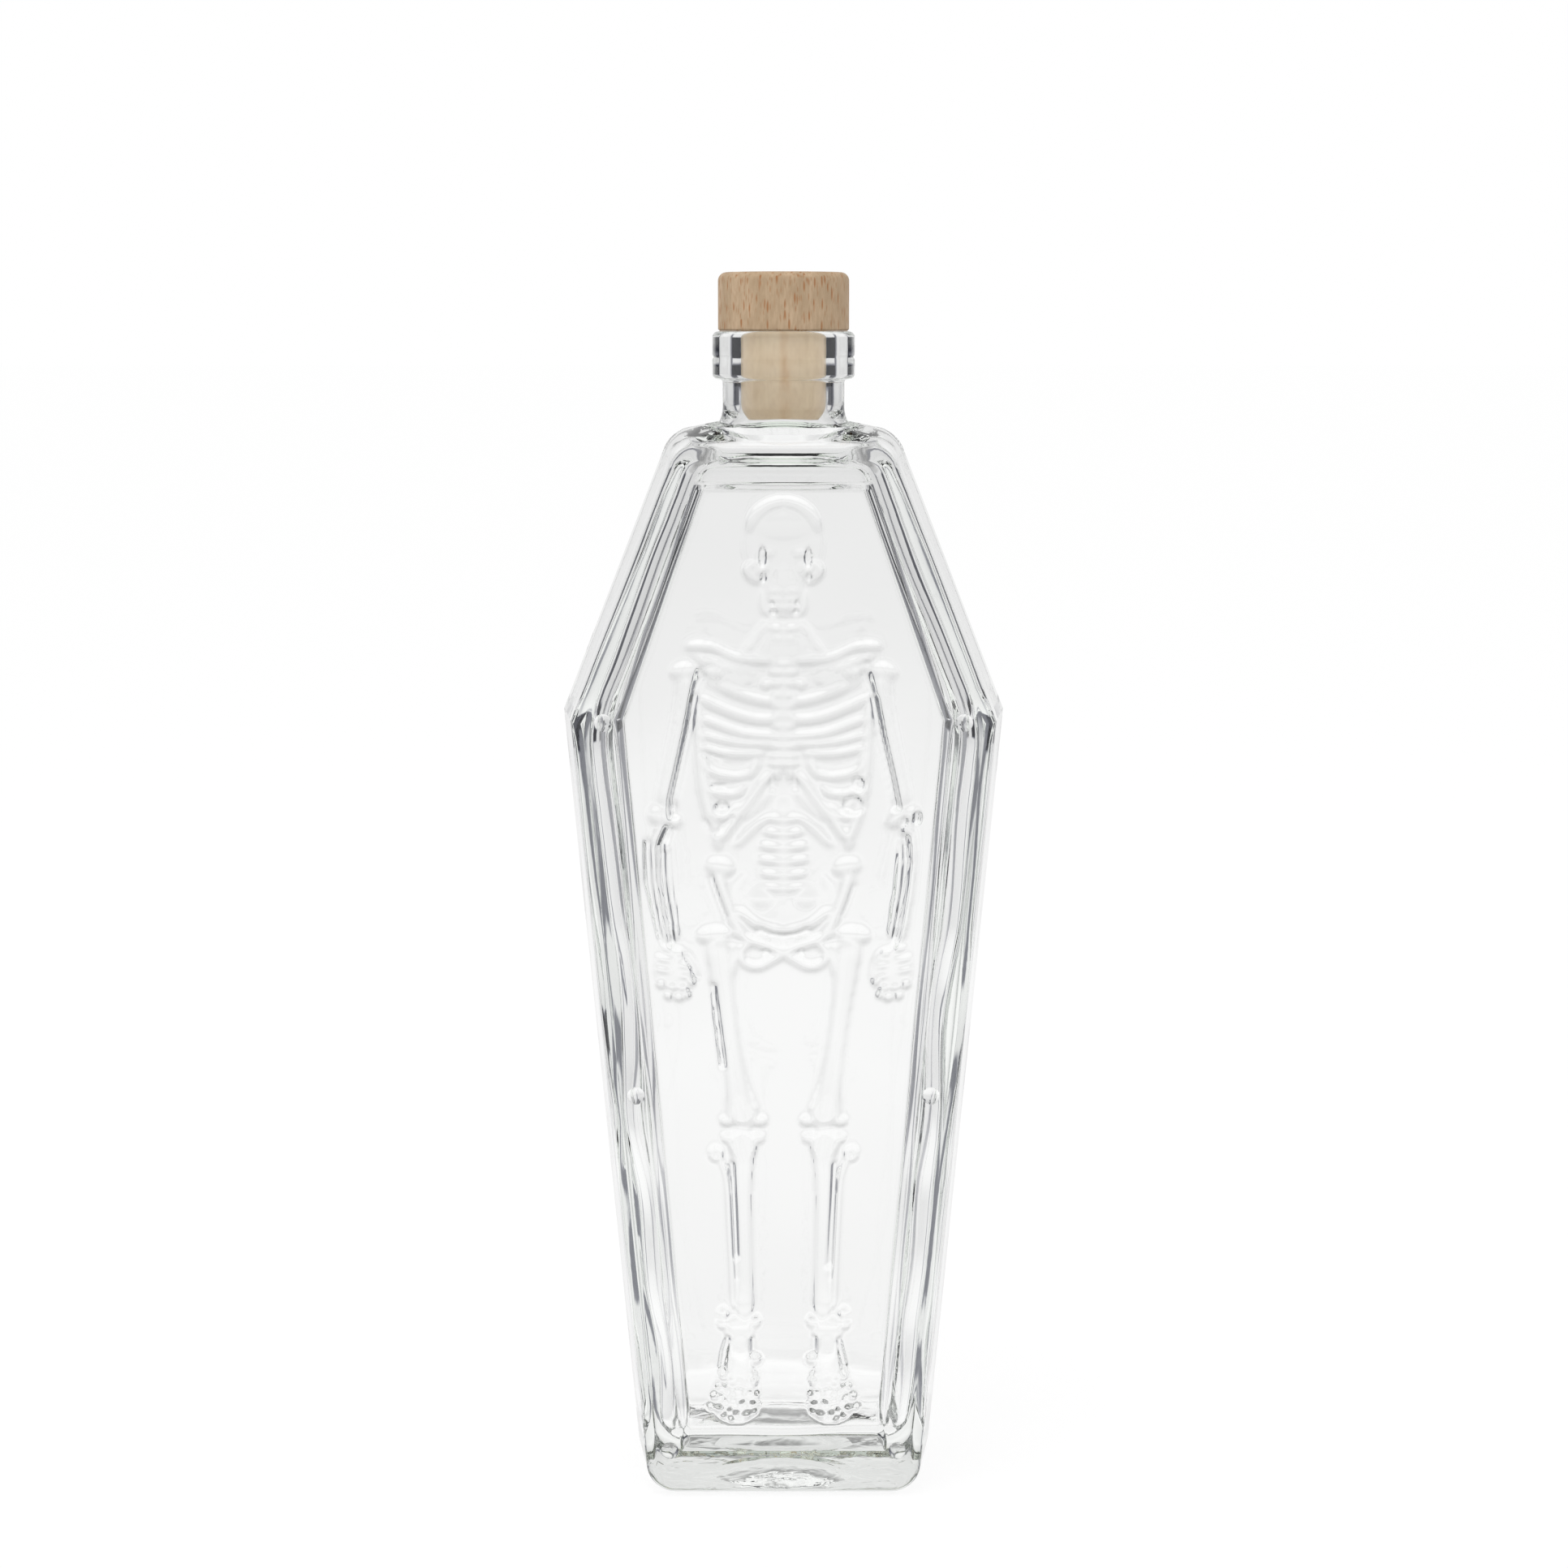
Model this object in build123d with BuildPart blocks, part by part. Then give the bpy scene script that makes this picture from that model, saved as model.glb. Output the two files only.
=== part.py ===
"""Coffin-shaped clear glass bottle with a wooden-headed stopper.

The origin is the middle of the underside, +Z is up and the relief panel faces -Y.
The bottle is one moulded piece: two half shells of the mould meet on the plane Y = 0,
the neck and its finish ring are round, and the front is a framed, sunken panel that
carries a skeleton in low relief. The stopper is a turned wooden head glued to a smooth
shank that stands in the bore.
"""

from build123d import *
import math
import os

os.makedirs("parts", exist_ok=True)

# Clearances that the pieces share, and how far stock runs past what trims it
stopper_clearance = 0.05
seat_clearance = 0.05
glue_gap = 0.05
cut_overrun = 6.0

# How finely small round edges are stepped, and the slope below which a face is a side
arc_steps = 3
draft_limit = 0.5

# Body of the bottle, on the plane where the mould halves meet
body_depth = 44.5
foot_width = 66.8
waist_width = 99.6
waist_height = 177.9
shoulder_width = 50.6
shoulder_height = 240.5
shoulder_peak_rise = 4.8
shoulder_peak_half_width = 2.0
foot_corner_radius = 6.5
shoulder_corner_radius = 7.0

# How the body draws in towards its front and back faces
side_draft = 3.0
face_shoulder_drop = 3.3
face_edge_radius = 2.8

# Neck and finish ring
neck_diameter = 27.2
neck_flare_radius = 7.0
neck_flare_width = 4.6
ring_diameter = 31.8
ring_height = 10.6
neck_length = 17.3
ring_edge_radius = 1.4
ring_groove_drop = 5.7
ring_groove_depth = 0.25
ring_groove_half_width = 0.4

# Inside of the bottle
side_wall = 4.8
face_wall = 5.6
base_thickness = 10.5
shoulder_wall = 5.0
cavity_edge_chamfer = 2.0
cavity_corner_chamfer = 3.5
bore_straight_length = 12.6
bore_flare_width = 5.0

# Punt pressed into the underside
punt_width = 31.0
punt_top_width = 14.0
punt_height = 3.2

# Sunken front panel: its frame's widths, seen from the front
frame_top_width = 9.3
frame_top_side_width = 13.0
frame_waist_side_width = 15.0
frame_foot_side_width = 13.9
frame_foot_height = 14.2
panel_depth = 1.8
panel_bevel = 2.2

# Raised nail heads on the frame
nub_diameter = 4.0
nub_rise = 1.2
nub_waist_inset = 10.1
nub_middle_inset = 9.1
nub_middle_height = 93.3
nub_foot_inset = 8.6
nub_foot_height = 10.4

# Skeleton in low relief: how high its bones stand on the panel and how wide they are
figure_height = 210.0
figure_foot_height = 16.0
bone_rise = 1.5
rib_rise = 1.0
skull_hollow_depth = 0.7
cranium_radius = 8.7
spine_width = 4.4
vertebra_width = 7.6
vertebra_height = 2.1
vertebra_pitch = 3.05
vertebra_count = 8
rib_width = 1.7
humerus_width = 3.7
forearm_width = 1.7
femur_width = 4.4
tibia_width = 3.6
fibula_width = 1.7
joint_radius = 2.8
joint_sides = 8
pubis_radius = 4.0
pubis_hole_radius = 1.7

# Stopper: turned head and smooth shank
shank_diameter = 19.0
shank_reach = 19.5
shank_end_chamfer_length = 3.0
shank_end_chamfer = 1.8
head_diameter = 29.2
head_height = 12.9
head_top_radius = 1.9
head_bottom_chamfer = 0.4
socket_depth = 4.0

# The skeleton's left half: pairs of x from the middle line and height above its feet, as
# shares of its height. A rib is an arc through its two ends and a point between them.
rib_shares = (
    ((-0.100, 0.853), (-0.057, 0.844), (-0.012, 0.834)),
    ((-0.064, 0.810), (-0.036, 0.799), (0.000, 0.795)),
    ((-0.085, 0.800), (-0.048, 0.781), (0.000, 0.776)),
    ((-0.087, 0.778), (-0.048, 0.762), (0.000, 0.757)),
    ((-0.087, 0.755), (-0.048, 0.740), (0.000, 0.737)),
    ((-0.086, 0.731), (-0.048, 0.718), (0.000, 0.719)),
    ((-0.083, 0.707), (-0.050, 0.696), (-0.020, 0.703)),
    ((-0.078, 0.685), (-0.054, 0.675), (-0.033, 0.684)),
    ((-0.090, 0.795), (-0.089, 0.715), (-0.069, 0.645)),
    ((-0.008, 0.716), (-0.031, 0.694), (-0.066, 0.645)),
)
spine_shares = ((0.000, 0.560), (0.000, 0.880))
lumbar_middle_share = 0.640
humerus_shares = ((-0.108, 0.822), (-0.128, 0.668))
forearm_shares = (
    ((-0.124, 0.662), (-0.128, 0.605), (-0.117, 0.530)),
    ((-0.139, 0.662), (-0.137, 0.595), (-0.127, 0.530)),
)
palm_shares = ((-0.113, 0.537), (-0.134, 0.537), (-0.139, 0.505), (-0.092, 0.505))
finger_shares = (
    ((-0.098, 0.510), (-0.095, 0.482)),
    ((-0.109, 0.510), (-0.107, 0.473)),
    ((-0.120, 0.510), (-0.121, 0.472)),
    ((-0.131, 0.510), (-0.134, 0.480)),
)
femur_shares = ((-0.073, 0.538), (-0.048, 0.340))
tibia_shares = ((-0.041, 0.325), (-0.045, 0.125))
fibula_shares = ((-0.067, 0.318), (-0.059, 0.122))
joint_shares = (
    (-0.104, 0.825), (-0.130, 0.664), (-0.075, 0.540),
    (-0.056, 0.338), (-0.034, 0.338), (-0.048, 0.119),
)
foot_shares = (
    (-0.036, 0.112), (-0.062, 0.108), (-0.065, 0.067), (-0.082, 0.026),
    (-0.071, 0.010), (-0.033, 0.002), (-0.027, 0.038), (-0.030, 0.081),
)
pelvis_shares = (
    (0.000, 0.586), (-0.021, 0.586), (-0.052, 0.617), (-0.079, 0.624), (-0.079, 0.598),
    (-0.063, 0.564), (-0.044, 0.536), (-0.020, 0.548), (0.000, 0.540),
)
pubis_shares = ((-0.026, 0.521),)
cranium_shares = ((0.000, 0.963),)
jaw_shares = (
    (0.000, 0.952), (-0.042, 0.952), (-0.043, 0.926), (-0.027, 0.910),
    (-0.024, 0.883), (-0.015, 0.875), (0.000, 0.875),
)
eye_socket_shares = (
    (-0.031, 0.948), (-0.012, 0.945), (-0.013, 0.931), (-0.022, 0.927), (-0.031, 0.935),
)
half_nose_shares = ((0.000, 0.932), (-0.008, 0.914), (0.000, 0.914))
half_mouth_shares = ((0.000, 0.894), (-0.018, 0.894), (-0.018, 0.889), (0.000, 0.889))

# Places worked out from the driving dimensions
body_half_depth = body_depth / 2
shoulder_peak = shoulder_height + shoulder_peak_rise
bottle_height = shoulder_peak + neck_length
face_shoulder_height = shoulder_height - face_shoulder_drop
draft_angle = math.degrees(math.atan2(side_draft, body_half_depth))
cavity_half_depth = body_half_depth - face_wall
cavity_shoulder = shoulder_height - shoulder_wall
ring_bottom_height = bottle_height - ring_height
bore_radius = shank_diameter / 2 + stopper_clearance
bore_straight_end = bottle_height - bore_straight_length
head_seat_height = bottle_height + seat_clearance
shank_end_height = head_seat_height - shank_reach


def half_width_at(height):
    """Half width of the body on the mould plane at a height above the foot."""
    if height <= waist_height:
        low_half, high_half = foot_width / 2, waist_width / 2
        share = height / waist_height
    else:
        low_half, high_half = waist_width / 2, shoulder_width / 2
        share = (height - waist_height) / (shoulder_height - waist_height)
    return low_half + (high_half - low_half) * share


def mirrored(right_side):
    """An outline's points: its right side from foot to top, then the same mirrored."""
    return right_side + [(-x, height) for x, height in reversed(right_side)]


def body_points():
    """The coffin outline on the mould plane, run on below the foot to be trimmed level."""
    return mirrored([
        (half_width_at(-cut_overrun), -cut_overrun),
        (waist_width / 2, waist_height),
        (shoulder_width / 2, shoulder_height),
        (shoulder_peak_half_width, shoulder_peak),
    ])


def cavity_points():
    """The same outline drawn in by the walls."""
    heights = (base_thickness, waist_height, cavity_shoulder)
    return mirrored([(half_width_at(height) - side_wall, height) for height in heights])


def panel_points(margin):
    """Corners of the sunken panel, widened by a margin for its bevel."""
    top_height = face_shoulder_height - frame_top_width
    foot_half = half_width_at(frame_foot_height) - frame_foot_side_width + margin
    waist_half = waist_width / 2 - frame_waist_side_width + margin
    top_half = half_width_at(top_height) - frame_top_side_width + margin
    foot = (foot_half, frame_foot_height - margin)
    return mirrored([foot, (waist_half, waist_height), (top_half, top_height + margin)])


def arc_points(centre, radius, start_angle, end_angle):
    """Points on an arc seen in the X-Z plane, as few as its small facets need."""
    angles = [
        math.radians(start_angle + (end_angle - start_angle) * step / arc_steps)
        for step in range(arc_steps + 1)
    ]
    return [
        (centre[0] + radius * math.cos(angle), centre[1] + radius * math.sin(angle))
        for angle in angles
    ]


def on_figure(shares):
    """Places on the panel from pairs of shares of the skeleton's height."""
    return [
        (x_share * figure_height, figure_foot_height + height_share * figure_height)
        for x_share, height_share in shares
    ]


def is_side(face):
    """Whether a face of a body half stands on its outline, not across its depth."""
    return abs(face.normal_at().Y) < draft_limit


# Cavity: the coffin form drawn in by the walls, with soft edges, kept to be cut out
with BuildPart() as cavity:
    with BuildSketch(Plane.XZ) as cavity_outline:
        with BuildLine():
            Polyline(*cavity_points(), close=True)
        make_face()
        chamfer(cavity_outline.vertices(), length=cavity_corner_chamfer)
    extrude(amount=cavity_half_depth)
    draft(cavity.faces().filter_by(is_side), Plane.XZ, draft_angle)
    mirror(about=Plane.XZ)
    chamfer(cavity.faces().filter_by(Axis.Y).edges(), length=cavity_edge_chamfer)


# Glass bottle, moulded in one piece
with BuildPart() as glass_bottle:
    # Front half of the body, drafted from the mould plane to the face, and its mirror
    with BuildSketch(Plane.XZ) as body_outline:
        with BuildLine():
            Polyline(*body_points(), close=True)
        make_face()
        shoulder_corners = body_outline.vertices().group_by(Axis.Y)[-2]
        fillet(shoulder_corners, radius=shoulder_corner_radius)
    extrude(amount=body_half_depth)
    draft(glass_bottle.faces().filter_by(is_side), Plane.XZ, draft_angle)
    mirror(about=Plane.XZ)

    # Level underside, and a roof that falls from the neck to the two faces
    with BuildSketch(Plane.YZ):
        with BuildLine():
            Polyline(
                (-body_half_depth, 0),
                (body_half_depth, 0),
                (body_half_depth, face_shoulder_height),
                (0, shoulder_peak),
                (-body_half_depth, face_shoulder_height),
                close=True,
            )
        make_face()
    extrude(amount=waist_width, both=True, mode=Mode.INTERSECT)

    # Rounded foot corners, then a soft edge round both faces
    underside_edges = glass_bottle.faces().sort_by(Axis.Z)[0].edges()
    foot_corners = underside_edges.filter_by(lambda edge: abs(edge.tangent_at(0).X) < draft_limit)
    fillet(foot_corners, radius=foot_corner_radius)
    fillet(glass_bottle.faces().filter_by(Axis.Y).edges(), radius=face_edge_radius)

    # Neck with a flared root, and the finish ring with its mould line
    neck_radius = neck_diameter / 2
    ring_radius = ring_diameter / 2
    groove_height = bottle_height - ring_groove_drop
    ring_corner = (ring_radius - ring_edge_radius, bottle_height - ring_edge_radius)
    flare_end_angle = math.degrees(math.acos(1 - neck_flare_width / neck_flare_radius))
    flare_centre = (neck_radius + neck_flare_radius, shoulder_peak)
    flare_points = arc_points(flare_centre, neck_flare_radius, 180, 180 + flare_end_angle)
    flare_foot_radius = neck_radius + neck_flare_width
    with BuildSketch(Plane.XZ):
        with BuildLine():
            Polyline(
                (0, cavity_shoulder),
                (0, bottle_height),
                *arc_points(ring_corner, ring_edge_radius, 90, 0),
                (ring_radius, groove_height + ring_groove_half_width),
                (ring_radius - ring_groove_depth, groove_height),
                (ring_radius, groove_height - ring_groove_half_width),
                (ring_radius, ring_bottom_height),
                (neck_radius, ring_bottom_height),
                *flare_points,
                (flare_foot_radius, cavity_shoulder),
                close=True,
            )
        make_face()
    revolve(axis=Axis.Z)
    add(cavity.part, mode=Mode.SUBTRACT)

    # Bore: straight where the shank stands, then flared down to the cavity
    cavity_roof_drop = side_draft * cavity_half_depth / body_half_depth
    bore_end = cavity_shoulder - cavity_roof_drop - cavity_edge_chamfer
    with BuildSketch(Plane.XZ):
        with BuildLine():
            Polyline(
                (0, bore_end),
                (0, bottle_height),
                (bore_radius, bottle_height),
                (bore_radius, bore_straight_end),
                (bore_radius + bore_flare_width, bore_end),
                close=True,
            )
        make_face()
    revolve(axis=Axis.Z, mode=Mode.SUBTRACT)

    # Punt: a shallow hollow pressed into the underside
    with Locations((0, 0, punt_height / 2)):
        Cone(punt_width / 2, punt_top_width / 2, punt_height, mode=Mode.SUBTRACT)

    # Sunken panel with a bevel all round
    with BuildSketch(Plane.XZ.offset(body_half_depth)):
        with BuildLine():
            Polyline(*panel_points(panel_bevel), close=True)
        make_face()
    with BuildSketch(Plane.XZ.offset(body_half_depth - panel_depth)):
        with BuildLine():
            Polyline(*panel_points(0), close=True)
        make_face()
    loft(ruled=True, mode=Mode.SUBTRACT)

    # Skeleton, low layer: ribs, breastbone, vertebrae, forearms and hands
    with BuildSketch(Plane.XZ.offset(body_half_depth - panel_depth)):
        for rib in rib_shares:
            with BuildLine():
                ThreePointArc(*on_figure(rib))
            trace(line_width=rib_width)
        for bone in forearm_shares + finger_shares:
            with BuildLine():
                Polyline(*on_figure(bone))
            trace(line_width=forearm_width)
        with BuildLine():
            Polyline(*on_figure(palm_shares), close=True)
        make_face()
        mirror(about=Plane.YZ)
        lumbar_height = figure_foot_height + lumbar_middle_share * figure_height
        with Locations((0, lumbar_height)):
            with GridLocations(0, vertebra_pitch, 1, vertebra_count):
                Rectangle(vertebra_width, vertebra_height)
        with BuildLine():
            Line(*on_figure(spine_shares))
        trace(line_width=spine_width)
    extrude(amount=rib_rise)

    # Skeleton, high layer: skull, pelvis and the long bones with their joints
    with BuildSketch(Plane.XZ.offset(body_half_depth - panel_depth)):
        for bone, width in (
            (humerus_shares, humerus_width),
            (femur_shares, femur_width),
            (tibia_shares, tibia_width),
            (fibula_shares, fibula_width),
        ):
            with BuildLine():
                Line(*on_figure(bone))
            trace(line_width=width)
        for place in on_figure(joint_shares):
            with Locations(place):
                RegularPolygon(joint_radius, joint_sides)
        for outline in (foot_shares, pelvis_shares, jaw_shares):
            with BuildLine():
                Polyline(*on_figure(outline), close=True)
            make_face()
        for place in on_figure(pubis_shares):
            with Locations(place):
                RegularPolygon(pubis_radius, joint_sides)
                RegularPolygon(pubis_hole_radius, joint_sides, mode=Mode.SUBTRACT)
        mirror(about=Plane.YZ)
        for place in on_figure(cranium_shares):
            with Locations(place):
                Circle(cranium_radius)
    extrude(amount=bone_rise)

    # Hollows of the skull
    with BuildSketch(Plane.XZ.offset(body_half_depth - panel_depth + bone_rise)):
        for outline in (eye_socket_shares, half_nose_shares, half_mouth_shares):
            with BuildLine():
                Polyline(*on_figure(outline), close=True)
            make_face()
        mirror(about=Plane.YZ)
    extrude(amount=-skull_hollow_depth, mode=Mode.SUBTRACT)

    # Nail heads: shallow domes on the frame
    nub_radius = nub_diameter / 2
    nub_sphere_radius = (nub_radius**2 + nub_rise**2) / (2 * nub_rise)
    nub_centre_y = nub_sphere_radius - nub_rise - body_half_depth
    for height, inset in (
        (waist_height, nub_waist_inset),
        (nub_middle_height, nub_middle_inset),
        (nub_foot_height, nub_foot_inset),
    ):
        nub_x = half_width_at(height) - inset
        with Locations((nub_x, nub_centre_y, height), (-nub_x, nub_centre_y, height)):
            Sphere(nub_sphere_radius)

glass_bottle.part.label = "glass_bottle"
export_step(glass_bottle.part, "parts/glass_bottle.step")


# Stopper shank: a smooth cylinder, its top glued into the head, its end chamfered
with BuildPart() as stopper_shank:
    with BuildSketch(Plane.XY.offset(shank_end_height)):
        Circle(shank_diameter / 2)
    extrude(amount=shank_reach + socket_depth)
    chamfer(
        stopper_shank.edges().sort_by(Axis.Z)[0],
        length=shank_end_chamfer_length,
        length2=shank_end_chamfer,
    )

stopper_shank.part.label = "stopper_shank"
export_step(stopper_shank.part, "parts/stopper_shank.step")


# Wooden head: a turned disc with a rounded top edge and a socket for the shank
with BuildPart() as wooden_head:
    head_radius = head_diameter / 2
    head_top_height = head_seat_height + head_height
    top_corner = (head_radius - head_top_radius, head_top_height - head_top_radius)
    with BuildSketch(Plane.XZ):
        with BuildLine():
            Polyline(
                (0, head_seat_height),
                (head_radius - head_bottom_chamfer, head_seat_height),
                (head_radius, head_seat_height + head_bottom_chamfer),
                *arc_points(top_corner, head_top_radius, 0, 90),
                (0, head_top_height),
                close=True,
            )
        make_face()
    revolve(axis=Axis.Z)
    with BuildSketch(Plane.XY.offset(head_seat_height)):
        Circle(shank_diameter / 2 + glue_gap)
    extrude(amount=socket_depth, mode=Mode.SUBTRACT)

wooden_head.part.label = "wooden_head"
export_step(wooden_head.part, "parts/wooden_head.step")

for piece in (glass_bottle.part, stopper_shank.part, wooden_head.part):
    print(piece.label, len(piece.solids()), round(piece.volume, 1), piece.bounding_box())
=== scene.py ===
# %% [markdown]
# # A coffin-shaped glass bottle with a skeleton in relief
#
# The bottle is one heavy moulding of clear glass. Its front carries a framed, sunken panel
# with a skeleton standing in low relief, and a turned beech knob on a smooth shank closes
# the neck. Glass shows its form only by what it bends, so nearly all the work here goes
# into true roundings, a real hollow inside, and a world that has something to bend.

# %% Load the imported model
import math

import bmesh
import bpy
import numpy as np
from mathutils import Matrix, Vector


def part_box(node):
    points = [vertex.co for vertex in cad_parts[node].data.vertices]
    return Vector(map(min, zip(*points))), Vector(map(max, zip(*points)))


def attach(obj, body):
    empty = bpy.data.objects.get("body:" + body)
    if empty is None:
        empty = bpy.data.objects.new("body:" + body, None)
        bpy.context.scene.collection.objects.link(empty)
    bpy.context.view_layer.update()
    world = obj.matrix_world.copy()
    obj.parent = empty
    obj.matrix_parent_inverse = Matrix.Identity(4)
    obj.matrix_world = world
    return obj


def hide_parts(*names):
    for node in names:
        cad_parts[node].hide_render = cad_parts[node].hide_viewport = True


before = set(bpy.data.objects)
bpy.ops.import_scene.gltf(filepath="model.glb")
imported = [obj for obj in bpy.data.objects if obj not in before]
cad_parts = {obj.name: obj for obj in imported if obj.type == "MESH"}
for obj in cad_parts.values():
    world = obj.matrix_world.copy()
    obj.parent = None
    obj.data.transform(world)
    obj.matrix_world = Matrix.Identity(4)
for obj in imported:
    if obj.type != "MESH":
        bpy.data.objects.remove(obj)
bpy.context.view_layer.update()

# %% [markdown]
# ## Places on the bottle
#
# Everything below is thought out in millimetres, as a maker would, and turned into metres
# by one factor. The outline is the coffin form on the plane where the mould halves meet.

# %% The driving sizes
MM = 0.001
HALF_DEPTH = 22.25
SIDE_DRAFT = 3.0
WAIST_Z = 177.9
OUTLINE = [(33.4, 0.0), (49.8, WAIST_Z), (25.3, 240.5), (2.0, 245.3)]
FACE_SHOULDER_Z = 237.2
PANEL_DEPTH = 1.8
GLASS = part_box("glass_bottle")
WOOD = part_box("wooden_head")
print("glass from", tuple(GLASS[0]), "to", tuple(GLASS[1]))

# %% [markdown]
# ## Small helpers for working as by hand
#
# An operator acts on whatever is selected, and loading the model leaves it selected. So
# each new piece starts from an empty selection, and edges are then picked by their place.


# %% Selection helpers
def start_clean():
    """Leaves edit mode and selects nothing."""
    if bpy.context.object and bpy.context.object.mode != "OBJECT":
        bpy.ops.object.mode_set(mode="OBJECT")
    bpy.ops.object.select_all(action="DESELECT")


def choose(*pieces):
    """Selects just these pieces, with the last one active."""
    start_clean()
    for piece in pieces:
        piece.select_set(True)
        bpy.context.view_layer.objects.active = piece


def settle(piece, name):
    """Names a piece and moves its place, turn and size into its mesh."""
    choose(piece)
    bpy.ops.object.transform_apply(location=True, rotation=True, scale=True)
    piece.name = name
    piece.data.name = name
    return piece


def pick_edges(piece, wanted):
    """Selects, in edit mode, the edges that pass a test on their ends in millimetres."""
    mesh = bmesh.from_edit_mesh(piece.data)
    count = 0
    for face in mesh.faces:
        face.select_set(False)
    for edge in mesh.edges:
        ends = [vertex.co / MM for vertex in edge.verts]
        chosen = wanted((ends[0] + ends[1]) / 2, (ends[1] - ends[0]).normalized())
        edge.select_set(chosen)
        count += chosen
    bmesh.update_edit_mesh(piece.data)
    return count


def round_edges(piece, wanted, offset, segments):
    """Bevels the edges that pass the test, and says how many there were."""
    choose(piece)
    bpy.ops.object.mode_set(mode="EDIT")
    bpy.ops.mesh.select_mode(type="EDGE")
    count = pick_edges(piece, wanted)
    bpy.ops.mesh.bevel(offset=offset * MM, segments=segments, profile=0.5, clamp_overlap=False)
    bpy.ops.object.mode_set(mode="OBJECT")
    print(piece.name, "rounded", count, "edges by", offset)


def carve(piece, tool, operation="DIFFERENCE"):
    """Cuts a tool out of a piece, or adds it, and removes the tool."""
    choose(piece)
    step = piece.modifiers.new("carve", "BOOLEAN")
    step.object = tool
    step.operation = operation
    step.solver = "EXACT"
    bpy.ops.object.modifier_apply(modifier=step.name)
    bpy.data.objects.remove(tool)
    print(piece.name, operation.lower(), len(piece.data.polygons), "faces")


# %% [markdown]
# ## The coffin form
#
# The body is cut from a block like a gem: one bisect for each side plane. All planes lean
# in towards the faces by the mould's draft, which leaves a faint ridge where the two
# mould halves met.

# %% Cut the block with bisects
STOCK_WIDTH = 120
SAME_CORNER = 0.01


def coffin_block(name):
    """A block as deep as the bottle, cut to the coffin form."""
    start_clean()
    top_z = OUTLINE[-1][1]
    bpy.ops.mesh.primitive_cube_add(
        size=1,
        location=(0, 0, top_z / 2 * MM),
        scale=(STOCK_WIDTH * MM, 2 * HALF_DEPTH * MM, top_z * MM),
    )
    block = settle(bpy.context.object, name)
    bpy.ops.object.mode_set(mode="EDIT")
    cuts = []
    for (x_low, z_low), (x_high, z_high) in zip(OUTLINE, OUTLINE[1:]):
        across = Vector((z_high - z_low, 0, x_low - x_high)).normalized() * HALF_DEPTH
        for side in (1, -1):
            for face in (1, -1):
                normal = Vector((side * across.x, face * SIDE_DRAFT, across.z))
                cuts.append((Vector((side * x_low, 0, z_low)), normal))
    roof_fall = top_z - FACE_SHOULDER_Z
    for face in (1, -1):
        cuts.append((Vector((0, 0, top_z)), Vector((0, face * roof_fall, HALF_DEPTH))))
    for place, normal in cuts:
        bpy.ops.mesh.select_all(action="SELECT")
        bpy.ops.mesh.bisect(
            plane_co=place * MM, plane_no=normal.normalized(), use_fill=True, clear_outer=True
        )
    bpy.ops.mesh.select_all(action="SELECT")
    bpy.ops.mesh.remove_doubles(threshold=SAME_CORNER * MM)
    bpy.ops.mesh.normals_make_consistent(inside=False)
    bpy.ops.object.mode_set(mode="OBJECT")
    print(name, len(block.data.vertices), "corners,", len(block.data.polygons), "faces")
    return block


body = coffin_block("bottle_glass")

# %% [markdown]
# The edges are rounded in order: first those that run from front to back, then the long
# edges round both faces, which have to run over the rounded corners.

# %% Round the outer edges
FOOT_CORNER, ROOF_CORNER, FACE_EDGE, WAIST_EASE = 5.93, 3.8, 2.45, 0.3
STRAIGHT_BACK = 0.9


def at_foot_corner(middle, way):
    """An edge from front to back at the foot."""
    return middle.z < 0.1 and abs(way.y) > STRAIGHT_BACK


def at_roof_corner(middle, way):
    """An edge from front to back where a flank meets the roof."""
    return 235 < middle.z < 242 and abs(middle.x) > 20 and abs(way.y) > STRAIGHT_BACK


def on_face(middle, way):
    """An edge round the front or the back face."""
    return abs(middle.y) > HALF_DEPTH - 0.01


def at_waist(middle, way):
    """The edge across a side where the coffin is widest."""
    return abs(middle.z - WAIST_Z) < 1 and abs(middle.x) > 46


round_edges(body, at_foot_corner, FOOT_CORNER, 8)
round_edges(body, at_roof_corner, ROOF_CORNER, 6)
round_edges(body, on_face, FACE_EDGE, 8)
round_edges(body, at_waist, WAIST_EASE, 2)

# %% [markdown]
# ## Neck and finish ring
#
# Round parts are turned: a disc is extruded upwards ring by ring, and each ring is scaled
# to its radius, just as a lathe tool follows a profile.


# %% Turn a solid from a profile
def turned(name, profile, sides=96):
    """A closed solid of revolution from (radius, height) pairs, lowest first."""
    start_clean()
    radius, height = profile[0]
    bpy.ops.mesh.primitive_circle_add(
        vertices=sides, radius=radius * MM, fill_type="NGON", location=(0, 0, height * MM)
    )
    piece = settle(bpy.context.object, name)
    bpy.ops.object.mode_set(mode="EDIT")
    bpy.ops.mesh.select_all(action="SELECT")
    for (old_radius, old_height), (radius, height) in zip(profile, profile[1:]):
        rise = (0, 0, (height - old_height) * MM)
        bpy.ops.mesh.extrude_region_move(TRANSFORM_OT_translate={"value": rise})
        grow = radius / old_radius
        bpy.ops.transform.resize(value=(grow, grow, 1), center_override=(0, 0, 0))
    bpy.ops.mesh.select_all(action="SELECT")
    bpy.ops.mesh.normals_make_consistent(inside=False)
    bpy.ops.object.mode_set(mode="OBJECT")
    print(name, "turned in", len(profile), "rings")
    return piece


def arc(centre_radius, centre_height, radius, first, last, steps=6):
    """Profile points on an arc, angles in degrees from the outward radius."""
    turns = [math.radians(first + (last - first) * step / steps) for step in range(steps + 1)]
    return [
        (centre_radius + radius * math.cos(turn), centre_height + radius * math.sin(turn))
        for turn in turns
    ]


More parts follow.
